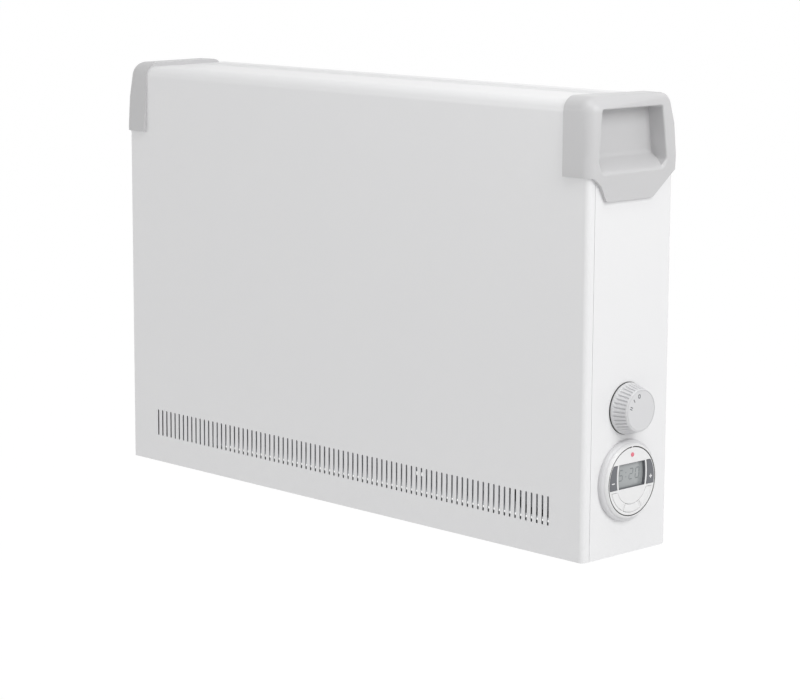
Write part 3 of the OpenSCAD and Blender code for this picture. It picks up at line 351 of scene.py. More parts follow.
def set_up_finishes():
    """All finishes by name: one for each slot of the record, and two for the scene alone."""

    def smooth(name, colour, roughness, **more):
        """Moulded plastic with the finest grain."""
        return moulded(name, colour, roughness, grain=2200, **more)

    return {
        "white_enamel": enamel(),
        "grey_plastic": moulded("grey_plastic", (0.60, 0.598, 0.603), 0.40, coat=0.12),
        "pale_plastic": moulded("pale_plastic", (0.70, 0.70, 0.71), 0.38, grain=1800, coat=0.12),
        "white_plastic": smooth("white_plastic", (0.86, 0.86, 0.86), 0.36, depth=0.00004, coat=0.1),
        "key_plastic": smooth("key_plastic", (0.16, 0.165, 0.18), 0.45),
        "display": smooth("display", (0.40, 0.42, 0.425), 0.12, depth=0.00001, coat=0.4),
        "display_digits": smooth("display_digits", (0.20, 0.215, 0.22), 0.3, depth=0.00001),
        "lamp": smooth("lamp", (0.80, 0.16, 0.22), 0.2, depth=0.00001, coat=0.5),
        "plated_steel": plated("plated_steel", (0.62, 0.63, 0.65), 0.42),
        "aluminium": drawn("aluminium", (0.78, 0.79, 0.80), 0.36),
        "brass": drawn("brass", (0.74, 0.55, 0.24), 0.34, (60, 60, 1)),
        "ceramic": dull("ceramic", (0.80, 0.77, 0.70), 0.6),
        "black_rubber": dull("black_rubber", (0.03, 0.03, 0.03), 0.6),
        "red_lead": dull("red_lead", (0.30, 0.04, 0.03), 0.5),
        "blue_lead": dull("blue_lead", (0.04, 0.08, 0.30), 0.5),
        "board": dull("board", (0.03, 0.13, 0.06), 0.45),
    }


def set_up_light():
    """Three soft lamps in a surround that is white where it is seen and softer as a light."""
    world = bpy.data.worlds.new("studio")
    bpy.context.scene.world = world
    world.use_nodes = True
    wiring = Wiring(world.node_tree)
    soft = wiring.node("ShaderNodeBackground", {}, {"Color": (1, 1, 1, 1), "Strength": 0.51})
    white = wiring.node("ShaderNodeBackground", {}, {"Color": (1, 1, 1, 1), "Strength": 1.0})
    choice = wiring.node("ShaderNodeMixShader", {}, {0: wiring.seen_rays(), 1: soft, 2: white})
    wiring.node("ShaderNodeOutputWorld", {}, {0: choice})
    for name, place, size, power in (("key_lamp", (2.9, -0.1, 1.8), 1.8, 45.5),
                                     ("fill_lamp", (-3.6, -5.6, 1.2), 2.6, 52),
                                     ("top_lamp", (0.5, -0.32, 1.15), 0.6, 2.8)):
        lamp = bpy.data.lights.new(name, "AREA")
        lamp.size = size
        lamp.energy = power
        holder = put_in_scene(name, lamp)
        holder.location = place
        holder.rotation_euler = (-Vector(place)).to_track_quat("-Z", "Y").to_euler()


def lay_floor():
    """The pale floor, whose own white shows to the camera over a faint shadow."""
    reach, level = 60, -0.62
    corners = [(-reach, -reach), (reach, -reach), (reach, reach), (-reach, reach)]
    mesh = bpy.data.meshes.new("pale_floor")
    mesh.from_pydata([(x, y, level) for x, y in corners], [], [(0, 1, 2, 3)])
    f = Finish("pale_floor", (0.92, 0.92, 0.92), 0.8)
    glow = f.node("ShaderNodeEmission", {}, {"Color": (1, 1, 1, 1), "Strength": 1.03})
    f.show(f.node("ShaderNodeMixShader", {}, {0: f.seen_rays() * 0.94, 1: f.surface, 2: glow}))
    mesh.materials.append(f.material)
    put_in_scene("pale_floor", mesh)


def finish_frame(finishes):
    """Each piece of the frame takes the finish that the record gives it."""
    for part in frame["record"]["subparts"]:
        piece = frame["nodes"][part["node"]]
        piece.data.materials.clear()
        piece.data.materials.append(finishes[part["material_slot"]])


def merged(mesh):
    """A mesh's shape, ready for editing, with the corners that lie at one place made one."""
    shape = bmesh.new()
    shape.from_mesh(mesh)
    bmesh.ops.remove_doubles(shape, verts=shape.verts, dist=2e-6)
    return shape


def add_piece(name, mesh, body, slot, crease=35.0, finish=None):
    """Cleans a mesh, smooths it up to an angle and adds it to a body in one of its finishes."""
    shape = merged(mesh)
    bmesh.ops.dissolve_degenerate(shape, edges=shape.edges, dist=1e-6)
    bmesh.ops.recalc_face_normals(shape, faces=shape.faces)
    for edge in shape.edges:
        edge.smooth = edge.calc_face_angle(0) < math.radians(crease)
    for face in shape.faces:
        face.smooth = True
    shape.to_mesh(mesh)
    shape.free()
    mesh.materials.clear()
    mesh.materials.append(finishes[finish or slot])
    piece = put_in_scene(name, mesh)
    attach(piece, body)
    return piece


def body_of_node(node):
    """The body that a node of the frame moves with."""
    return frame["nodes"][node]["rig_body"]


def slot_of_node(node):
    """The material slot that the record gives a node."""
    return next(s["material_slot"] for s in frame["record"]["subparts"] if s["node"] == node)


def stand_in(name, mesh, node, crease=35.0, finish=None):
    """Adds a piece in place of a node of the frame, on its body and in its slot."""
    piece = add_piece(name, mesh, body_of_node(node), slot_of_node(node), crease, finish)
    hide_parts(node)


def mouth_of(shape):
    """The corners of a finger pocket's mouth on the outside of a handle cap, in order."""
    low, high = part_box("right_handle_cap")
    side_depth, tab_height, short = 7 * MM, 25 * MM, 0.3
    beside = {}
    for edge in shape.edges:
        middle = (edge.verts[0].co + edge.verts[1].co) / 2
        if abs(middle.x) < high[0] - side_depth or middle.z < low[2] + tab_height:
            continue
        # One face looks out of the end and the other one into the pocket
        outward = sorted(face.normal.x * math.copysign(1, middle.x) for face in edge.link_faces)
        sharp = edge.calc_face_angle(0) > math.radians(50)
        if -0.2 < outward[0] < 0.6 and outward[1] > 0.9 and sharp:
            first, second = edge.verts
            beside.setdefault(first, []).append(second)
            beside.setdefault(second, []).append(first)
    start = min(beside, key=lambda corner: (corner.co.z, corner.co.y))
    ring = [start, beside[start][0]]
    while ring[-1] != start:
        one, other = beside[ring[-1]]
        ring.append(other if one == ring[-2] else one)
    corners = [corner.co / MM for corner in ring[:-1]]
    kept = [corner for k, corner in enumerate(corners) if (corner - corners[k - 1]).length > short]
    turn = sum(kept[k - 1].y * kept[k].z - kept[k].y * kept[k - 1].z for k in range(len(kept)))
    return kept if turn > 0 else kept[::-1]


def bands(rows, steps, closed=False):
    """Faces between rings of points, and from the last ring to the first if closed."""
    faces = []
    for i in range(rows if closed else rows - 1):
        low, high = i * steps, (i + 1) % rows * steps
        for k in range(steps):
            n = (k + 1) % steps
            faces.append((low + k, low + n, high + n, high + k))
    return faces


def flared_cutter(name, corners, radius, lip_radius):
    """The form that rounds a pocket's mouth: narrow at its sides and wide on its sloping lower lip."""
    steps, sharpest = 7, 0.7
    # In millimetres: how high the lip's band is, how softly it ends, and how deep and curved it is
    lip_height, lip_fade, lip_depth, bulge, dip = 7, 6, 4.5, 1.3, 1.7
    lip = min(corner.z for corner in corners)
    side = math.copysign(1, corners[0].x)
    rings = [[] for k in range(steps + 3)]
    for k, corner in enumerate(corners):
        before, after = corners[k - 1], corners[(k + 1) % len(corners)]
        in_way, out_way = (corner - before).yz.normalized(), (after - corner).yz.normalized()
        along = (in_way + out_way).normalized()
        out = Vector((along.y, -along.x)) / max(along.dot(out_way), sharpest)
        # How much of a corner belongs to the lower lip, from none to all
        low = max(0.0, min(1.0, (lip + lip_height - corner.z) / lip_fade))
        low = low * low * (3 - 2 * low)
        reach = radius + (lip_radius - radius) * low
        deepest = radius + (lip_depth - radius) * low
        places = [(reach + 0.5, -4.0)]
        for step in range(steps + 1):
            t = step / steps
            share = ((1 - t) ** 2, 2 * t * (1 - t), t ** 2)
            places.append((share[0] * reach + share[1] * bulge * low - share[2] * dip * low,
                           share[2] * deepest))
        places.append((-dip * low - 0.8, deepest + 0.7))
        for ring, (aside, depth) in zip(rings, places):
            ring.append((corner.x - side * depth, corner.y + out.x * aside, corner.z + out.y * aside))
    count = len(corners)
    points = [point for ring in rings for point in ring]
    ends = [tuple(range(count)), tuple(range(len(points) - count, len(points)))]
    mesh = bpy.data.meshes.new(name)
    mesh.from_pydata([[c * MM for c in point] for point in points], [],
                     bands(len(rings), count) + ends)
    shape = bmesh.new()
    shape.from_mesh(mesh)
    bmesh.ops.recalc_face_normals(shape, faces=shape.faces)
    shape.to_mesh(mesh)
    shape.free()
    return mesh


def cut_away(mesh, cutter):
    """The first mesh less the second."""
    whole, tool = put_in_scene("whole", mesh), put_in_scene("cutter", cutter)
    cut = whole.modifiers.new("cut", "BOOLEAN")
    cut.operation = "DIFFERENCE"
    cut.solver = "EXACT"
    cut.object = tool
    result = plain_mesh(whole)
    bpy.data.objects.remove(tool)
    return result


def dress(node, edge, mouth=None):
    """A copy of a frame piece with its small edges rounded, its bends smooth and its flats even."""
    crease = 30.0
    mesh = frame["nodes"][node].data.copy()
    shape = merged(mesh)
    bmesh.ops.dissolve_limit(shape, angle_limit=math.radians(0.4), verts=shape.verts, edges=shape.edges)
    cutter = flared_cutter(node + "_flare", mouth_of(shape), *mouth) if mouth else None
    shape.to_mesh(mesh)
    shape.free()
    if cutter:
        mesh = cut_away(mesh, cutter)
    piece = add_piece(node + "_dressed", mesh, body_of_node(node), slot_of_node(node), crease)
    rounding = piece.modifiers.new("rounded_edges", "BEVEL")
    rounding.width = edge * MM
    rounding.segments = 2
    rounding.limit_method = "ANGLE"
    rounding.angle_limit = math.radians(crease)
    rounding.harden_normals = True
    rounding.miter_outer = "MITER_ARC"
    # Large flat faces keep their own direction beside a bend
    flats = piece.modifiers.new("even_flats", "WEIGHTED_NORMAL")
    flats.mode = "FACE_AREA"
    flats.weight = 100
    flats.keep_sharp = True
    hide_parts(node)


def turned_mesh(name, profile, middle, steps=128, closed=True):
    """A turned form round an axis along X: the profile's points are (reach out of the end, radius)."""
    verts = []
    for out, radius in profile:
        for k in range(steps):
            angle = WHEEL * k / steps
            verts.append((out * MM, (middle[0] + radius * math.cos(angle)) * MM,
                          (middle[1] + radius * math.sin(angle)) * MM))
    mesh = bpy.data.meshes.new(name)
    mesh.from_pydata(verts, [], bands(len(profile), steps, closed))
    return mesh


def rounded_path(corners):
    """Points of a closed outline whose corners (first, second, radius) are rounded off."""
    steps = 6
    points = []
    for i, (u, v, radius) in enumerate(corners):
        before, after = corners[i - 1], corners[(i + 1) % len(corners)]
        way_in = Vector((u - before[0], v - before[1])).normalized()
        way_out = Vector((after[0] - u, after[1] - v)).normalized()
        bend = way_in.angle_signed(way_out, 0)
        run = radius * math.tan(abs(bend) / 2)
        start = Vector((u, v)) - way_in * run
        end = Vector((u, v)) + way_out * run
        inward = (way_out - way_in).normalized()
        heart = Vector((u, v)) + inward * math.hypot(run, radius)
        first, last = start - heart, end - heart
        sweep = first.angle_signed(last, 0)
        for k in range(steps + 1):
            arm = first.copy()
            arm.rotate(Matrix.Rotation(-sweep * k / steps, 2))
            points.append(tuple(heart + arm))
    return points


def arc_points(middle, radius, start, end, steps):
    """Points of an arc, angles in degrees."""
    turns = [math.radians(start + (end - start) * k / steps) for k in range(steps + 1)]
    return [(middle[0] + radius * math.cos(a), middle[1] + radius * math.sin(a)) for a in turns]


def cut_mesh(name, outlines, middle, back, front, edge, steps=3):
    """A flat form cut along outlines in the end's plane, from back to front, with rounded rims."""
    curve = bpy.data.curves.new(name, "CURVE")
    curve.dimensions = "2D"
    curve.fill_mode = "BOTH"
    curve.extrude = (front - back) / 2 - edge
    curve.bevel_depth = edge
    curve.bevel_resolution = steps
    curve.offset = -edge
    for outline in outlines:
        path = curve.splines.new("POLY")
        path.points.add(len(outline) - 1)
        for point, (u, v) in zip(path.points, outline):
            point.co = (u, v, 0, 1)
        path.use_cyclic_u = True
    mesh = plain_mesh(put_in_scene(name, curve))
    for vert in mesh.vertices:
        u, v, w = vert.co
        vert.co = (((front + back) / 2 + w) * MM, (middle[0] + u) * MM, (middle[1] + v) * MM)
    return mesh


def reach_of(node):
    """Middle of a node in the end's plane and its reach along X, in millimetres."""
    low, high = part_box(node)
    middle = ((low[1] + high[1]) / 2 / MM, (low[2] + high[2]) / 2 / MM)
    return middle, low[0] / MM, high[0] / MM


def turned_about(outline, degrees, shift):
    """An outline turned about its own middle and then shifted."""
    c, s = math.cos(math.radians(degrees)), math.sin(math.radians(degrees))
    return [(u * c - v * s + shift[0], u * s + v * c + shift[1]) for u, v in outline]


def bar(width, height):
    """Outline of a bar round its middle."""
    u, v = width / 2, height / 2
    return [(-u, -v), (u, -v), (u, v), (-u, v)]


def press_flutes(mesh, middle, start, end, count, depth, half_width, side_at, slope):
    """Presses flutes into the side of a turned mesh, between two places along its axis."""
    p = Pattern("knob_flutes", {"Flutes": float(count), "Depth": depth * MM, "Half width": half_width * MM,
                                "Start": start * MM, "End": end * MM, "Run-out": 1.2 * MM})
    x, y, z = p.parts_of(p.node("GeometryNodeInputPosition", {}, {}))
    across = y - middle[0] * MM
    up = z - middle[1] * MM
    radius = (across * across + up * up) ** 0.5
    turn = p.node("ShaderNodeMath", {"operation": "ARCTAN2"}, {0: up, 1: across}) * p.size("Flutes") / WHEEL
    nearest = p.node("ShaderNodeMath", {"operation": "ROUND"}, {0: turn})
    aside = abs(turn - nearest) * radius * WHEEL / p.size("Flutes")

    def eased(value, **ends):
        """A value brought softly from one pair of ends to another."""
        ends = {name.replace("_", " ").title(): end for name, end in ends.items()}
        return p.node("ShaderNodeMapRange", {"interpolation_type": "SMOOTHSTEP"}, {"Value": value, **ends})

    wall = eased(aside, from_min=p.size("Half width") * 0.35, from_max=p.size("Half width"),
                 to_min=1.0, to_max=0.0)
    way_in = eased(x - p.size("Start"), from_min=0.0, from_max=p.size("Run-out"))
    way_out = eased(p.size("End") - x, from_min=0.0, from_max=p.size("Run-out"))
    outer = radius > (side_at * MM - x * slope)
    push = wall * way_in * way_out * outer * p.size("Depth") / radius
    offset = p.node("ShaderNodeCombineXYZ", {}, {1: 0 - across * push, 2: 0 - up * push})
    moved = p.node("GeometryNodeSetPosition", {}, {"Geometry": p.start, "Offset": offset})
    return p.make(moved, mesh, finishes["pale_plastic"])


def make_knob():
    """The fluted selector knob, and a black disc in the gap behind it that paints the shade there."""
    middle, back, front = reach_of("selector_knob")
    spindle_tip = reach_of("selector_spindle")[2] + 0.1
    base_r, face_r, band, wall = 25.0, 20.5, 2.0, 2.2
    bore_r, boss_r, boss_back = 3.05, 6, back + 6.5
    slope = (base_r - face_r) / (front - back - band)
    flutes, flute_depth, flute_half, flute_rows = 36, 1.45, 0.95, 20
    flute_start, flute_end = back + 2.6, front - 1.6
    side = [(x, base_r - (x - back - band) * slope)
            for x in (flute_start + (flute_end - flute_start) * k / flute_rows
                      for k in range(flute_rows + 1))]
    lip = [(front - 0.75 + 0.75 * math.sin(a), face_r - 0.55 + 0.7 * math.cos(a))
           for a in (math.radians(d) for d in (0, 22, 45, 68, 90))]
    profile = [(spindle_tip, 0), (spindle_tip, bore_r), (boss_back, bore_r), (boss_back, boss_r),
               (front - wall, boss_r), (front - wall, face_r - wall), (back + band, base_r - wall),
               (back, base_r - wall), (back, base_r - 0.5), (back + 0.15, base_r - 0.15),
               (back + 0.5, base_r), (back + band, base_r), *side, *lip, (front, face_r - 0.8),
               (front - 0.5, face_r - 0.95), (front - 0.5, face_r - 1.5), (front, face_r - 1.65),
               (front, 8), (front, 0)]
    mesh = turned_mesh("selector_knob_fluted", profile, middle, steps=flutes * 12, closed=False)
    mesh = press_flutes(mesh, middle, flute_start, flute_end, flutes, flute_depth, flute_half,
                        base_r - 1.2 + (back + band) * slope, slope)
    stand_in("selector_knob_fluted", mesh, "selector_knob", crease=40, finish="pale_plastic")
    mark_knob(middle, front, 0.7 * face_r)

    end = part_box("right_end_panel")[1][0] / MM
    rim_r, hole_r = 25.45, 12
    # A black disc in the gap behind the knob paints the shade that falls in that gap
    seat = [(end, rim_r), (end, hole_r), (back - 0.35, hole_r), (back - 0.35, 25.3), (back - 0.45, rim_r)]
    add_piece("knob_seat_washer", turned_mesh("knob_seat_washer", seat, middle), "heater", "black_rubber")


def mark_knob(middle, face, radius):
    """The marks 0, I and II on the knob's face, each turned on by one step of the switch."""
    ring_u, ring_v, stroke, tall = 1.7, 2.05, 0.9, 3.5
    first_at, step = 101, 32

    def ring(inset, corner_r):
        """Outline of the mark 0, or of the hole in it, which is inset by the stroke."""
        outline = bar(2 * (ring_u - inset), 2 * (ring_v - inset))
        return rounded_path([(u, v, corner_r) for u, v in outline])

    marks = (("off", [ring(0, 1.3), ring(stroke, 0.7)]),
             ("one", [bar(1.0, tall)]),
             ("two", [[(u + d, v) for u, v in bar(0.9, tall)] for d in (-1.0, 1.0)]))
    for number, (name, outlines) in enumerate(marks):
        turn = number * step
        angle = math.radians(first_at + turn)
        shift = (radius * math.cos(angle), radius * math.sin(angle))
        drawn_on = [turned_about(outline, turn, shift) for outline in outlines]
        mesh = cut_mesh("knob_mark_" + name, drawn_on, middle, face, face + 0.05, 0.01, steps=0)
        add_piece("knob_mark_" + name, mesh, "knob", "key_plastic")


def key_outline(side, gap):
    """Outline of the dark key on one side of the display, smaller by a gap."""
    low, high, rim_r, divide_r, divide_u, rise = -6 + gap, 18 - gap, 32.3 - gap, 62 + gap, 40.25, 6
    outer = arc_points((0, 0), rim_r, math.degrees(math.asin(low / rim_r)),
                       math.degrees(math.asin(high / rim_r)), 16)
    bend = math.degrees(math.asin((high - rise) / divide_r))
    inner = arc_points((-divide_u, rise), divide_r, bend, -bend, 10)
    return [(side * u, v) for u, v in outer + inner]


def window_outline(gap):
    """Outline of the display's window, larger by a gap."""
    rise, divide_r, divide_u, half = 6, 60 + gap, 40.25, 12 + gap
    bend = math.degrees(math.asin(half / divide_r))
    right = arc_points((-divide_u, rise), divide_r, -bend, bend, 12)
    return right + [(-u, 2 * rise - v) for u, v in right]


def arc_key_outline(number, gap):
    """Outline of one of the three keys along the lower rim, smaller by a gap."""
    inner_r, outer_r, top, half_turn, rib_turn = 22 + gap, 30.2 - gap, -8.2 - gap, 26, 1.6

    def ends(radius):
        """Where the key starts and stops at a radius, in degrees."""
        spare = math.degrees(gap / radius)
        level = math.degrees(math.asin(-top / radius))
        start = 180 + level if number < 0 else 270 + (2 * number - 1) * half_turn + rib_turn + spare
        stop = 360 - level if number > 0 else 270 + (2 * number + 1) * half_turn - rib_turn - spare
        return start, stop

    outer = arc_points((0, 0), outer_r, *ends(outer_r), 16)
    return outer + arc_points((0, 0), inner_r, *ends(inner_r)[::-1], 16)


def digit_bars(number, tall):
    """The lit bars of one digit of the display, as slanted outlines round its middle."""
    lit = {0: "abcdef", 2: "abged", 5: "afgcd"}[number]
    wide, thick, slant = tall * 0.5, tall * 0.1, 0.12
    half = tall / 4
    places = {"a": (0, tall / 2, 0), "g": (0, 0, 0), "d": (0, -tall / 2, 0), "f": (-wide / 2, half, 1),
              "b": (wide / 2, half, 1), "e": (-wide / 2, -half, 1), "c": (wide / 2, -half, 1)}
    bars = []
    for letter in lit:
        u, v, upright = places[letter]
        shape = bar(thick, tall / 2 - thick) if upright else bar(wide - thick, thick)
        bars.append([(u + a + slant * (v + b), v + b) for a, b in shape])
    return bars


def make_timer_rings(middle, end, trim_top, face_back, face_top):
    """The timer's sloping trim ring and bevelled front ring, a black ring in its groove that paints the
    shade in that gap, and its pip.
    """
    ring_top = reach_of("timer_front_ring")[2]
    trim_r, bore_r, groove_r, groove_floor = 39.8, 34.3, 33.95, face_top - 0.12
    slope = [(end + 2.0 + 3.1 * math.sin(a), trim_r - 2.9 + 2.9 * math.cos(a))
             for a in (math.radians(d) for d in (0, 15, 30, 45, 60, 75))]
    trim = [(end, bore_r), (end, trim_r - 0.3), (end + 0.3, trim_r), *slope, (trim_top, 36.75),
            (trim_top, bore_r)]
    stand_in("timer_trim_turned", turned_mesh("timer_trim_turned", trim, middle), "timer_trim_ring",
             crease=50, finish="pale_plastic")
    bevelled = [(trim_top, bore_r), (trim_top, 36.55), (trim_top + 0.7, 36.5), (trim_top + 1.3, 36.25),
                (ring_top - 0.5, 35.15), (ring_top - 0.1, 34.75), (ring_top, 34.45),
                (ring_top - 0.1, 34.1), (ring_top - 0.4, groove_r), (face_back, groove_r)]
    stand_in("timer_front_turned", turned_mesh("timer_front_turned", bevelled, middle),
             "timer_front_ring", crease=50)
    # A black ring at the floor of the groove paints the shade in the gap between the front ring and the
    # face
    groove = [(groove_floor - 0.4, FACE_R - 0.3), (groove_floor - 0.4, groove_r),
              (groove_floor, groove_r), (groove_floor, FACE_R - 0.3)]
    add_piece("timer_groove_ring", turned_mesh("timer_groove_ring", groove, middle), "heater",
              "black_rubber")
    pip = [(u, v + 33.6) for u, v in bar(1.3, 1.1)]
    mesh = cut_mesh("timer_ring_pip", [pip], middle, groove_floor, face_top - 0.05, 0.1)
    add_piece("timer_ring_pip", mesh, "heater", "white_plastic")


def make_timer_face(middle, face_back, face_top):
    """The timer's white face, open for the display, the keys and the lamp."""
    openings = [window_outline(0), key_outline(-1, 0), key_outline(1, 0),
                *(arc_key_outline(n, 0) for n in (-1, 0, 1)), arc_points(LAMP_AT, 1.95, 0, 345, 23)]
    disc = arc_points((0, 0), FACE_R, 0, 360 - 3, 119)
    mesh = cut_mesh("timer_face_cut", [disc, *openings], middle, face_back, face_top, 0.18)
    stand_in("timer_face_cut", mesh, "timer_face", crease=40)


def make_timer_keys(middle, face_back):
    """The two dark keys with their signs, and the three keys along the lower rim."""
    key_back, key_top = face_back - 0.2, reach_of("plus_key")[2]
    slack, edge, half, thick = 0.38, 0.25, 2.0, 0.52
    plus = [(-half, -thick), (-thick, -thick), (-thick, -half), (thick, -half), (thick, -thick),
            (half, -thick), (half, thick), (thick, thick), (thick, half), (-thick, half),
            (-thick, thick), (-half, thick)]
    for side, name, sign in ((-1, "minus", bar(4.0, 1.05)), (1, "plus", plus)):
        mesh = cut_mesh(name + "_key_cut", [key_outline(side, slack)], middle, key_back, key_top, edge)
        stand_in(name + "_key_cut", mesh, name + "_key", crease=40)
        drawn_on = [[(u + side * 27.1, v + 1.2) for u, v in sign]]
        mesh = cut_mesh(name + "_sign", drawn_on, middle, key_top, key_top + 0.05, 0.01, steps=0)
        add_piece(name + "_sign", mesh, name + "_key", "white_plastic")
    for number, name in ((-1, "left"), (0, "middle"), (1, "right")):
        name += "_arc_key"
        mesh = cut_mesh(name + "_cut", [arc_key_outline(number, slack)], middle, key_back, key_top, edge)
        stand_in(name + "_cut", mesh, name, crease=40)


def make_display(middle, face_back, face_top):
    """The display with its figures, and the dark lining behind its window and the dark collar in it, whose
    colour paints the shade on the walls of the window's recess.
    """
    board = reach_of("timer_board")[2]
    glass, edge, level = face_top - 3.4, 0.05, 6.5
    mesh = cut_mesh("display_glass", [window_outline(0.6)], middle, board, glass, edge, steps=1)
    stand_in("display_glass", mesh, "timer_display")
    # Lining and collar are dark plastic so that they paint the shade on the walls of the window's recess
    for name, outer, back, front in (("display_lining", 0.6, glass - 0.2, face_back - 0.05),
                                     ("display_collar", -0.02, face_back - 0.1, face_top - 0.25)):
        outlines = [window_outline(outer), window_outline(-0.3)]
        mesh = cut_mesh(name, outlines, middle, back, front, edge, steps=1)
        add_piece(name, mesh, "heater", "key_plastic")
    bars = []
    for number, u in ((5, -12.5), (2, 2.2), (0, 11.2)):
        bars += [[(a + u, b + level) for a, b in outline] for outline in digit_bars(number, 10)]
    bars += [[(u - 5.2, v + level + d) for u, v in bar(1.1, 1.1)] for d in (-2, 2)]
    mesh = cut_mesh("display_digits", bars, middle, glass, glass + 0.03, 0.005, steps=0)
    add_piece("display_digits", mesh, "heater", "display", finish="display_digits")


def make_lamp(middle, face_top):
    """The domed lens of the status lamp."""
    stem_r, dome_r = 1.85, 2.2
    lens = [(face_top - 1.0, 0), (face_top - 1.0, stem_r), (face_top + 0.02, stem_r),
            (face_top + 0.02, dome_r)]
    lens += [(face_top + 0.15 + 0.7 * math.sin(a), dome_r * math.cos(a))
             for a in (math.radians(d) for d in (8, 22, 36, 50, 64, 78, 90))]
    lamp_middle = (middle[0] + LAMP_AT[0], middle[1] + LAMP_AT[1])
    mesh = turned_mesh("status_lamp_lens", lens, lamp_middle, steps=32, closed=False)
    stand_in("status_lamp_lens", mesh, "status_lamp", crease=50)


def make_timer():
    """The round timer: rings, face, keys with their signs, display and lamp."""
    middle, end, trim_top = reach_of("timer_trim_ring")
    face_back, face_top = reach_of("timer_face")[1:]
    make_timer_rings(middle, end, trim_top, face_back, face_top)
    make_timer_face(middle, face_back, face_top)
    make_timer_keys(middle, face_back)
    make_display(middle, face_back, face_top)
    make_lamp(middle, face_top)


def islands(node):
    """Lowest and highest corner of each separate solid of a frame piece."""
    shape = merged(frame["nodes"][node].data)
    left = set(shape.verts)
    boxes = []
    while left:
        group, to_visit = set(), [left.pop()]
        while to_visit:
            vert = to_visit.pop()
            group.add(vert)
            for edge in vert.link_edges:
                other = edge.other_vert(vert)
                if other in left:
                    left.discard(other)
                    to_visit.append(other)
        boxes.append(tuple(Vector([pick(v.co[k] for v in group) for k in range(3)])
                           for pick in (min, max)))
    shape.free()
    return sorted(boxes, key=lambda b: (round(b[0].x, 4), round(b[0].y, 4), round(b[0].z, 4)))


def pan_screw_mesh(name, head_r, head_h, shank_r, shank_len):
    """A screw along Z, head up at the origin: crowned head with a cross recess, and a threaded shank."""
    shape = bmesh.new()
    steps, pitch = 24, 0.7
    rows = [(-shank_len, shank_r * 0.4), (-shank_len + 0.5, shank_r * 0.92)]
    for k in range(int((shank_len - 1.2) / pitch)):
        z = -shank_len + 0.6 + pitch * k
        rows += [(z, shank_r * 0.86), (z + pitch / 2, shank_r)]
    rows += [(0, shank_r * 0.9), (0, head_r - 0.15), (0.2, head_r), (head_h * 0.55, head_r * 0.93),
             (head_h * 0.85, head_r * 0.74)]
    rings = [[shape.verts.new((r * math.cos(WHEEL * k / steps), r * math.sin(WHEEL * k / steps), z))
              for k in range(steps)] for z, r in rows]
    for low, high in zip(rings, rings[1:]):
        for k in range(steps):
            n = (k + 1) % steps
            shape.faces.new((low[k], low[n], high[n], high[k]))
    tip = shape.verts.new((0, 0, -shank_len - 0.3))
    for k in range(steps):
        shape.faces.new((rings[0][(k + 1) % steps], rings[0][k], tip))
    # Crossed recess: the crown's inner ring steps down where the driver goes in
    crown_r, arm, deep = head_r * 0.55, head_r * 0.16, head_h * 0.6
    corner = arm * 1.25
    cross = []
    for quarter in range(4):
        a = quarter * math.pi / 2
        for u, v in ((crown_r, -arm), (crown_r, arm), (corner, corner)):
            cross.append((u * math.cos(a) - v * math.sin(a), u * math.sin(a) + v * math.cos(a)))
    top = [shape.verts.new((u, v, head_h)) for u, v in cross]
    floor = [shape.verts.new((u * 0.8, v * 0.8, head_h - deep)) for u, v in cross]
    outer = rings[-1]
    for k in range(len(cross)):
        n = (k + 1) % len(cross)
        shape.faces.new((top[n], top[k], floor[k], floor[n]))
    shape.faces.new(floor)
    for k in range(len(cross)):
        n = (k + 1) % len(cross)
        shape.faces.new((outer[2 * k], outer[2 * k + 1], top[k]))
        shape.faces.new((outer[2 * k + 1], outer[(2 * k + 2) % steps], top[n], top[k]))
    bmesh.ops.scale(shape, vec=(MM, MM, MM), verts=shape.verts)
    bmesh.ops.recalc_face_normals(shape, faces=shape.faces)
    mesh = bpy.data.meshes.new(name)
    shape.to_mesh(mesh)
    shape.free()
    return mesh


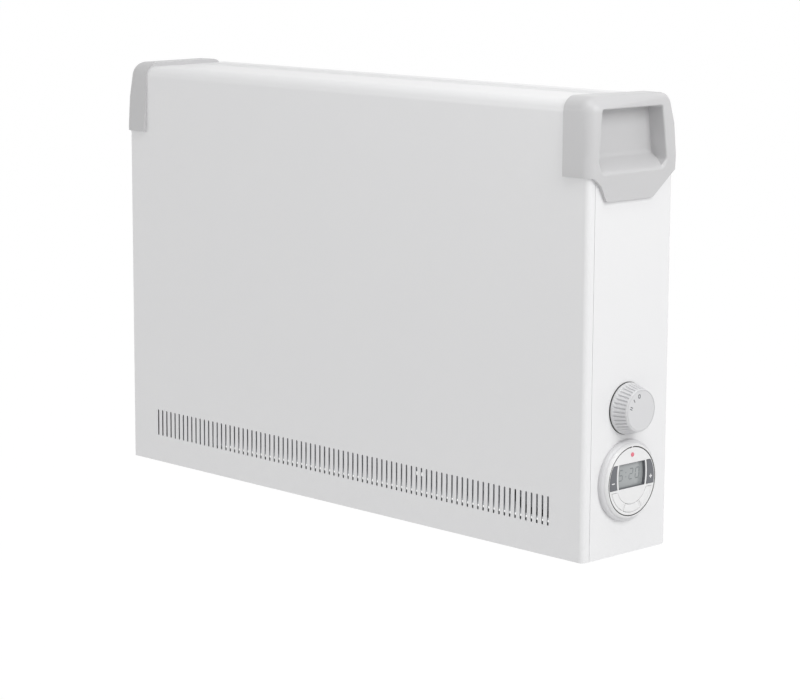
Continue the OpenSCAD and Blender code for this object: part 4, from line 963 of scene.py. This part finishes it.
def make_screws(node, along, head_h):
    """Stands a detailed screw in place of each plain one; along is the way from shank to head."""
    shank_r = 1.38
    boxes = islands(node)
    axis = max(range(3), key=lambda k: abs(along[k]))
    size = boxes[0][1] - boxes[0][0]
    length, head_r = size[axis] / MM, size[(axis + 1) % 3] / 2 / MM
    mesh = pan_screw_mesh(node + "_one", head_r, head_h, shank_r, length - head_h)
    one = put_in_scene(node + "_one", mesh)
    spots = bpy.data.meshes.new(node + "_detailed")
    seats = []
    for low, high in boxes:
        seat = (low + high) / 2
        top = high[axis] if along[axis] > 0 else low[axis]
        seat[axis] = top - along[axis] * head_h * MM
        seats.append(seat)
    spots.from_pydata(seats, [], [])
    turn = Vector((0, 0, 1)).rotation_difference(Vector(along)).to_euler()
    p = Pattern(node + "_pattern", {"Screw": one, "Turn": tuple(turn), "Twist": 0.9})
    shape = p.node("GeometryNodeObjectInfo", {}, {"Object": p.size("Screw")}, "Geometry")
    spots_in = p.node("GeometryNodeMeshToPoints", {}, {"Mesh": p.start})
    number = p.node("GeometryNodeInputIndex", {}, {})
    base = p.node("FunctionNodeEulerToRotation", {}, {0: p.size("Turn")})
    twist = p.node("ShaderNodeCombineXYZ", {}, {2: number * p.size("Twist")})
    twisted = p.node("FunctionNodeRotateRotation", {"rotation_space": "LOCAL"},
                     {0: base, 1: p.node("FunctionNodeEulerToRotation", {}, {0: twist})})
    placed = p.node("GeometryNodeInstanceOnPoints", {},
                    {"Points": spots_in, "Instance": shape, "Rotation": twisted})
    mesh = p.make(placed, spots, finishes["plated_steel"])
    bpy.data.objects.remove(one)
    stand_in(node + "_detailed", mesh, node, crease=30)


set_up_camera()
set_up_light()
lay_floor()
finishes = set_up_finishes()
finish_frame(finishes)

for node, edge in (("front_casing", 0.15), ("left_end_panel", 0.12), ("right_end_panel", 0.12),
                   ("bottom_grille", 0.2), ("back_panel", 0.2), ("wall_bracket", 0.2)):
    dress(node, edge)
for node in ("left_handle_cap", "right_handle_cap"):
    dress(node, 0.5, mouth=(2.2, 4.4))
make_knob()
make_timer()
make_screws("casing_screws", (0, 0, -1), 1.2)
make_screws("partition_screws", (0, 1, 0), 1.6)
make_screws("cap_screws", (0, 0, -1), 1.6)

bpy.context.view_layer.update()
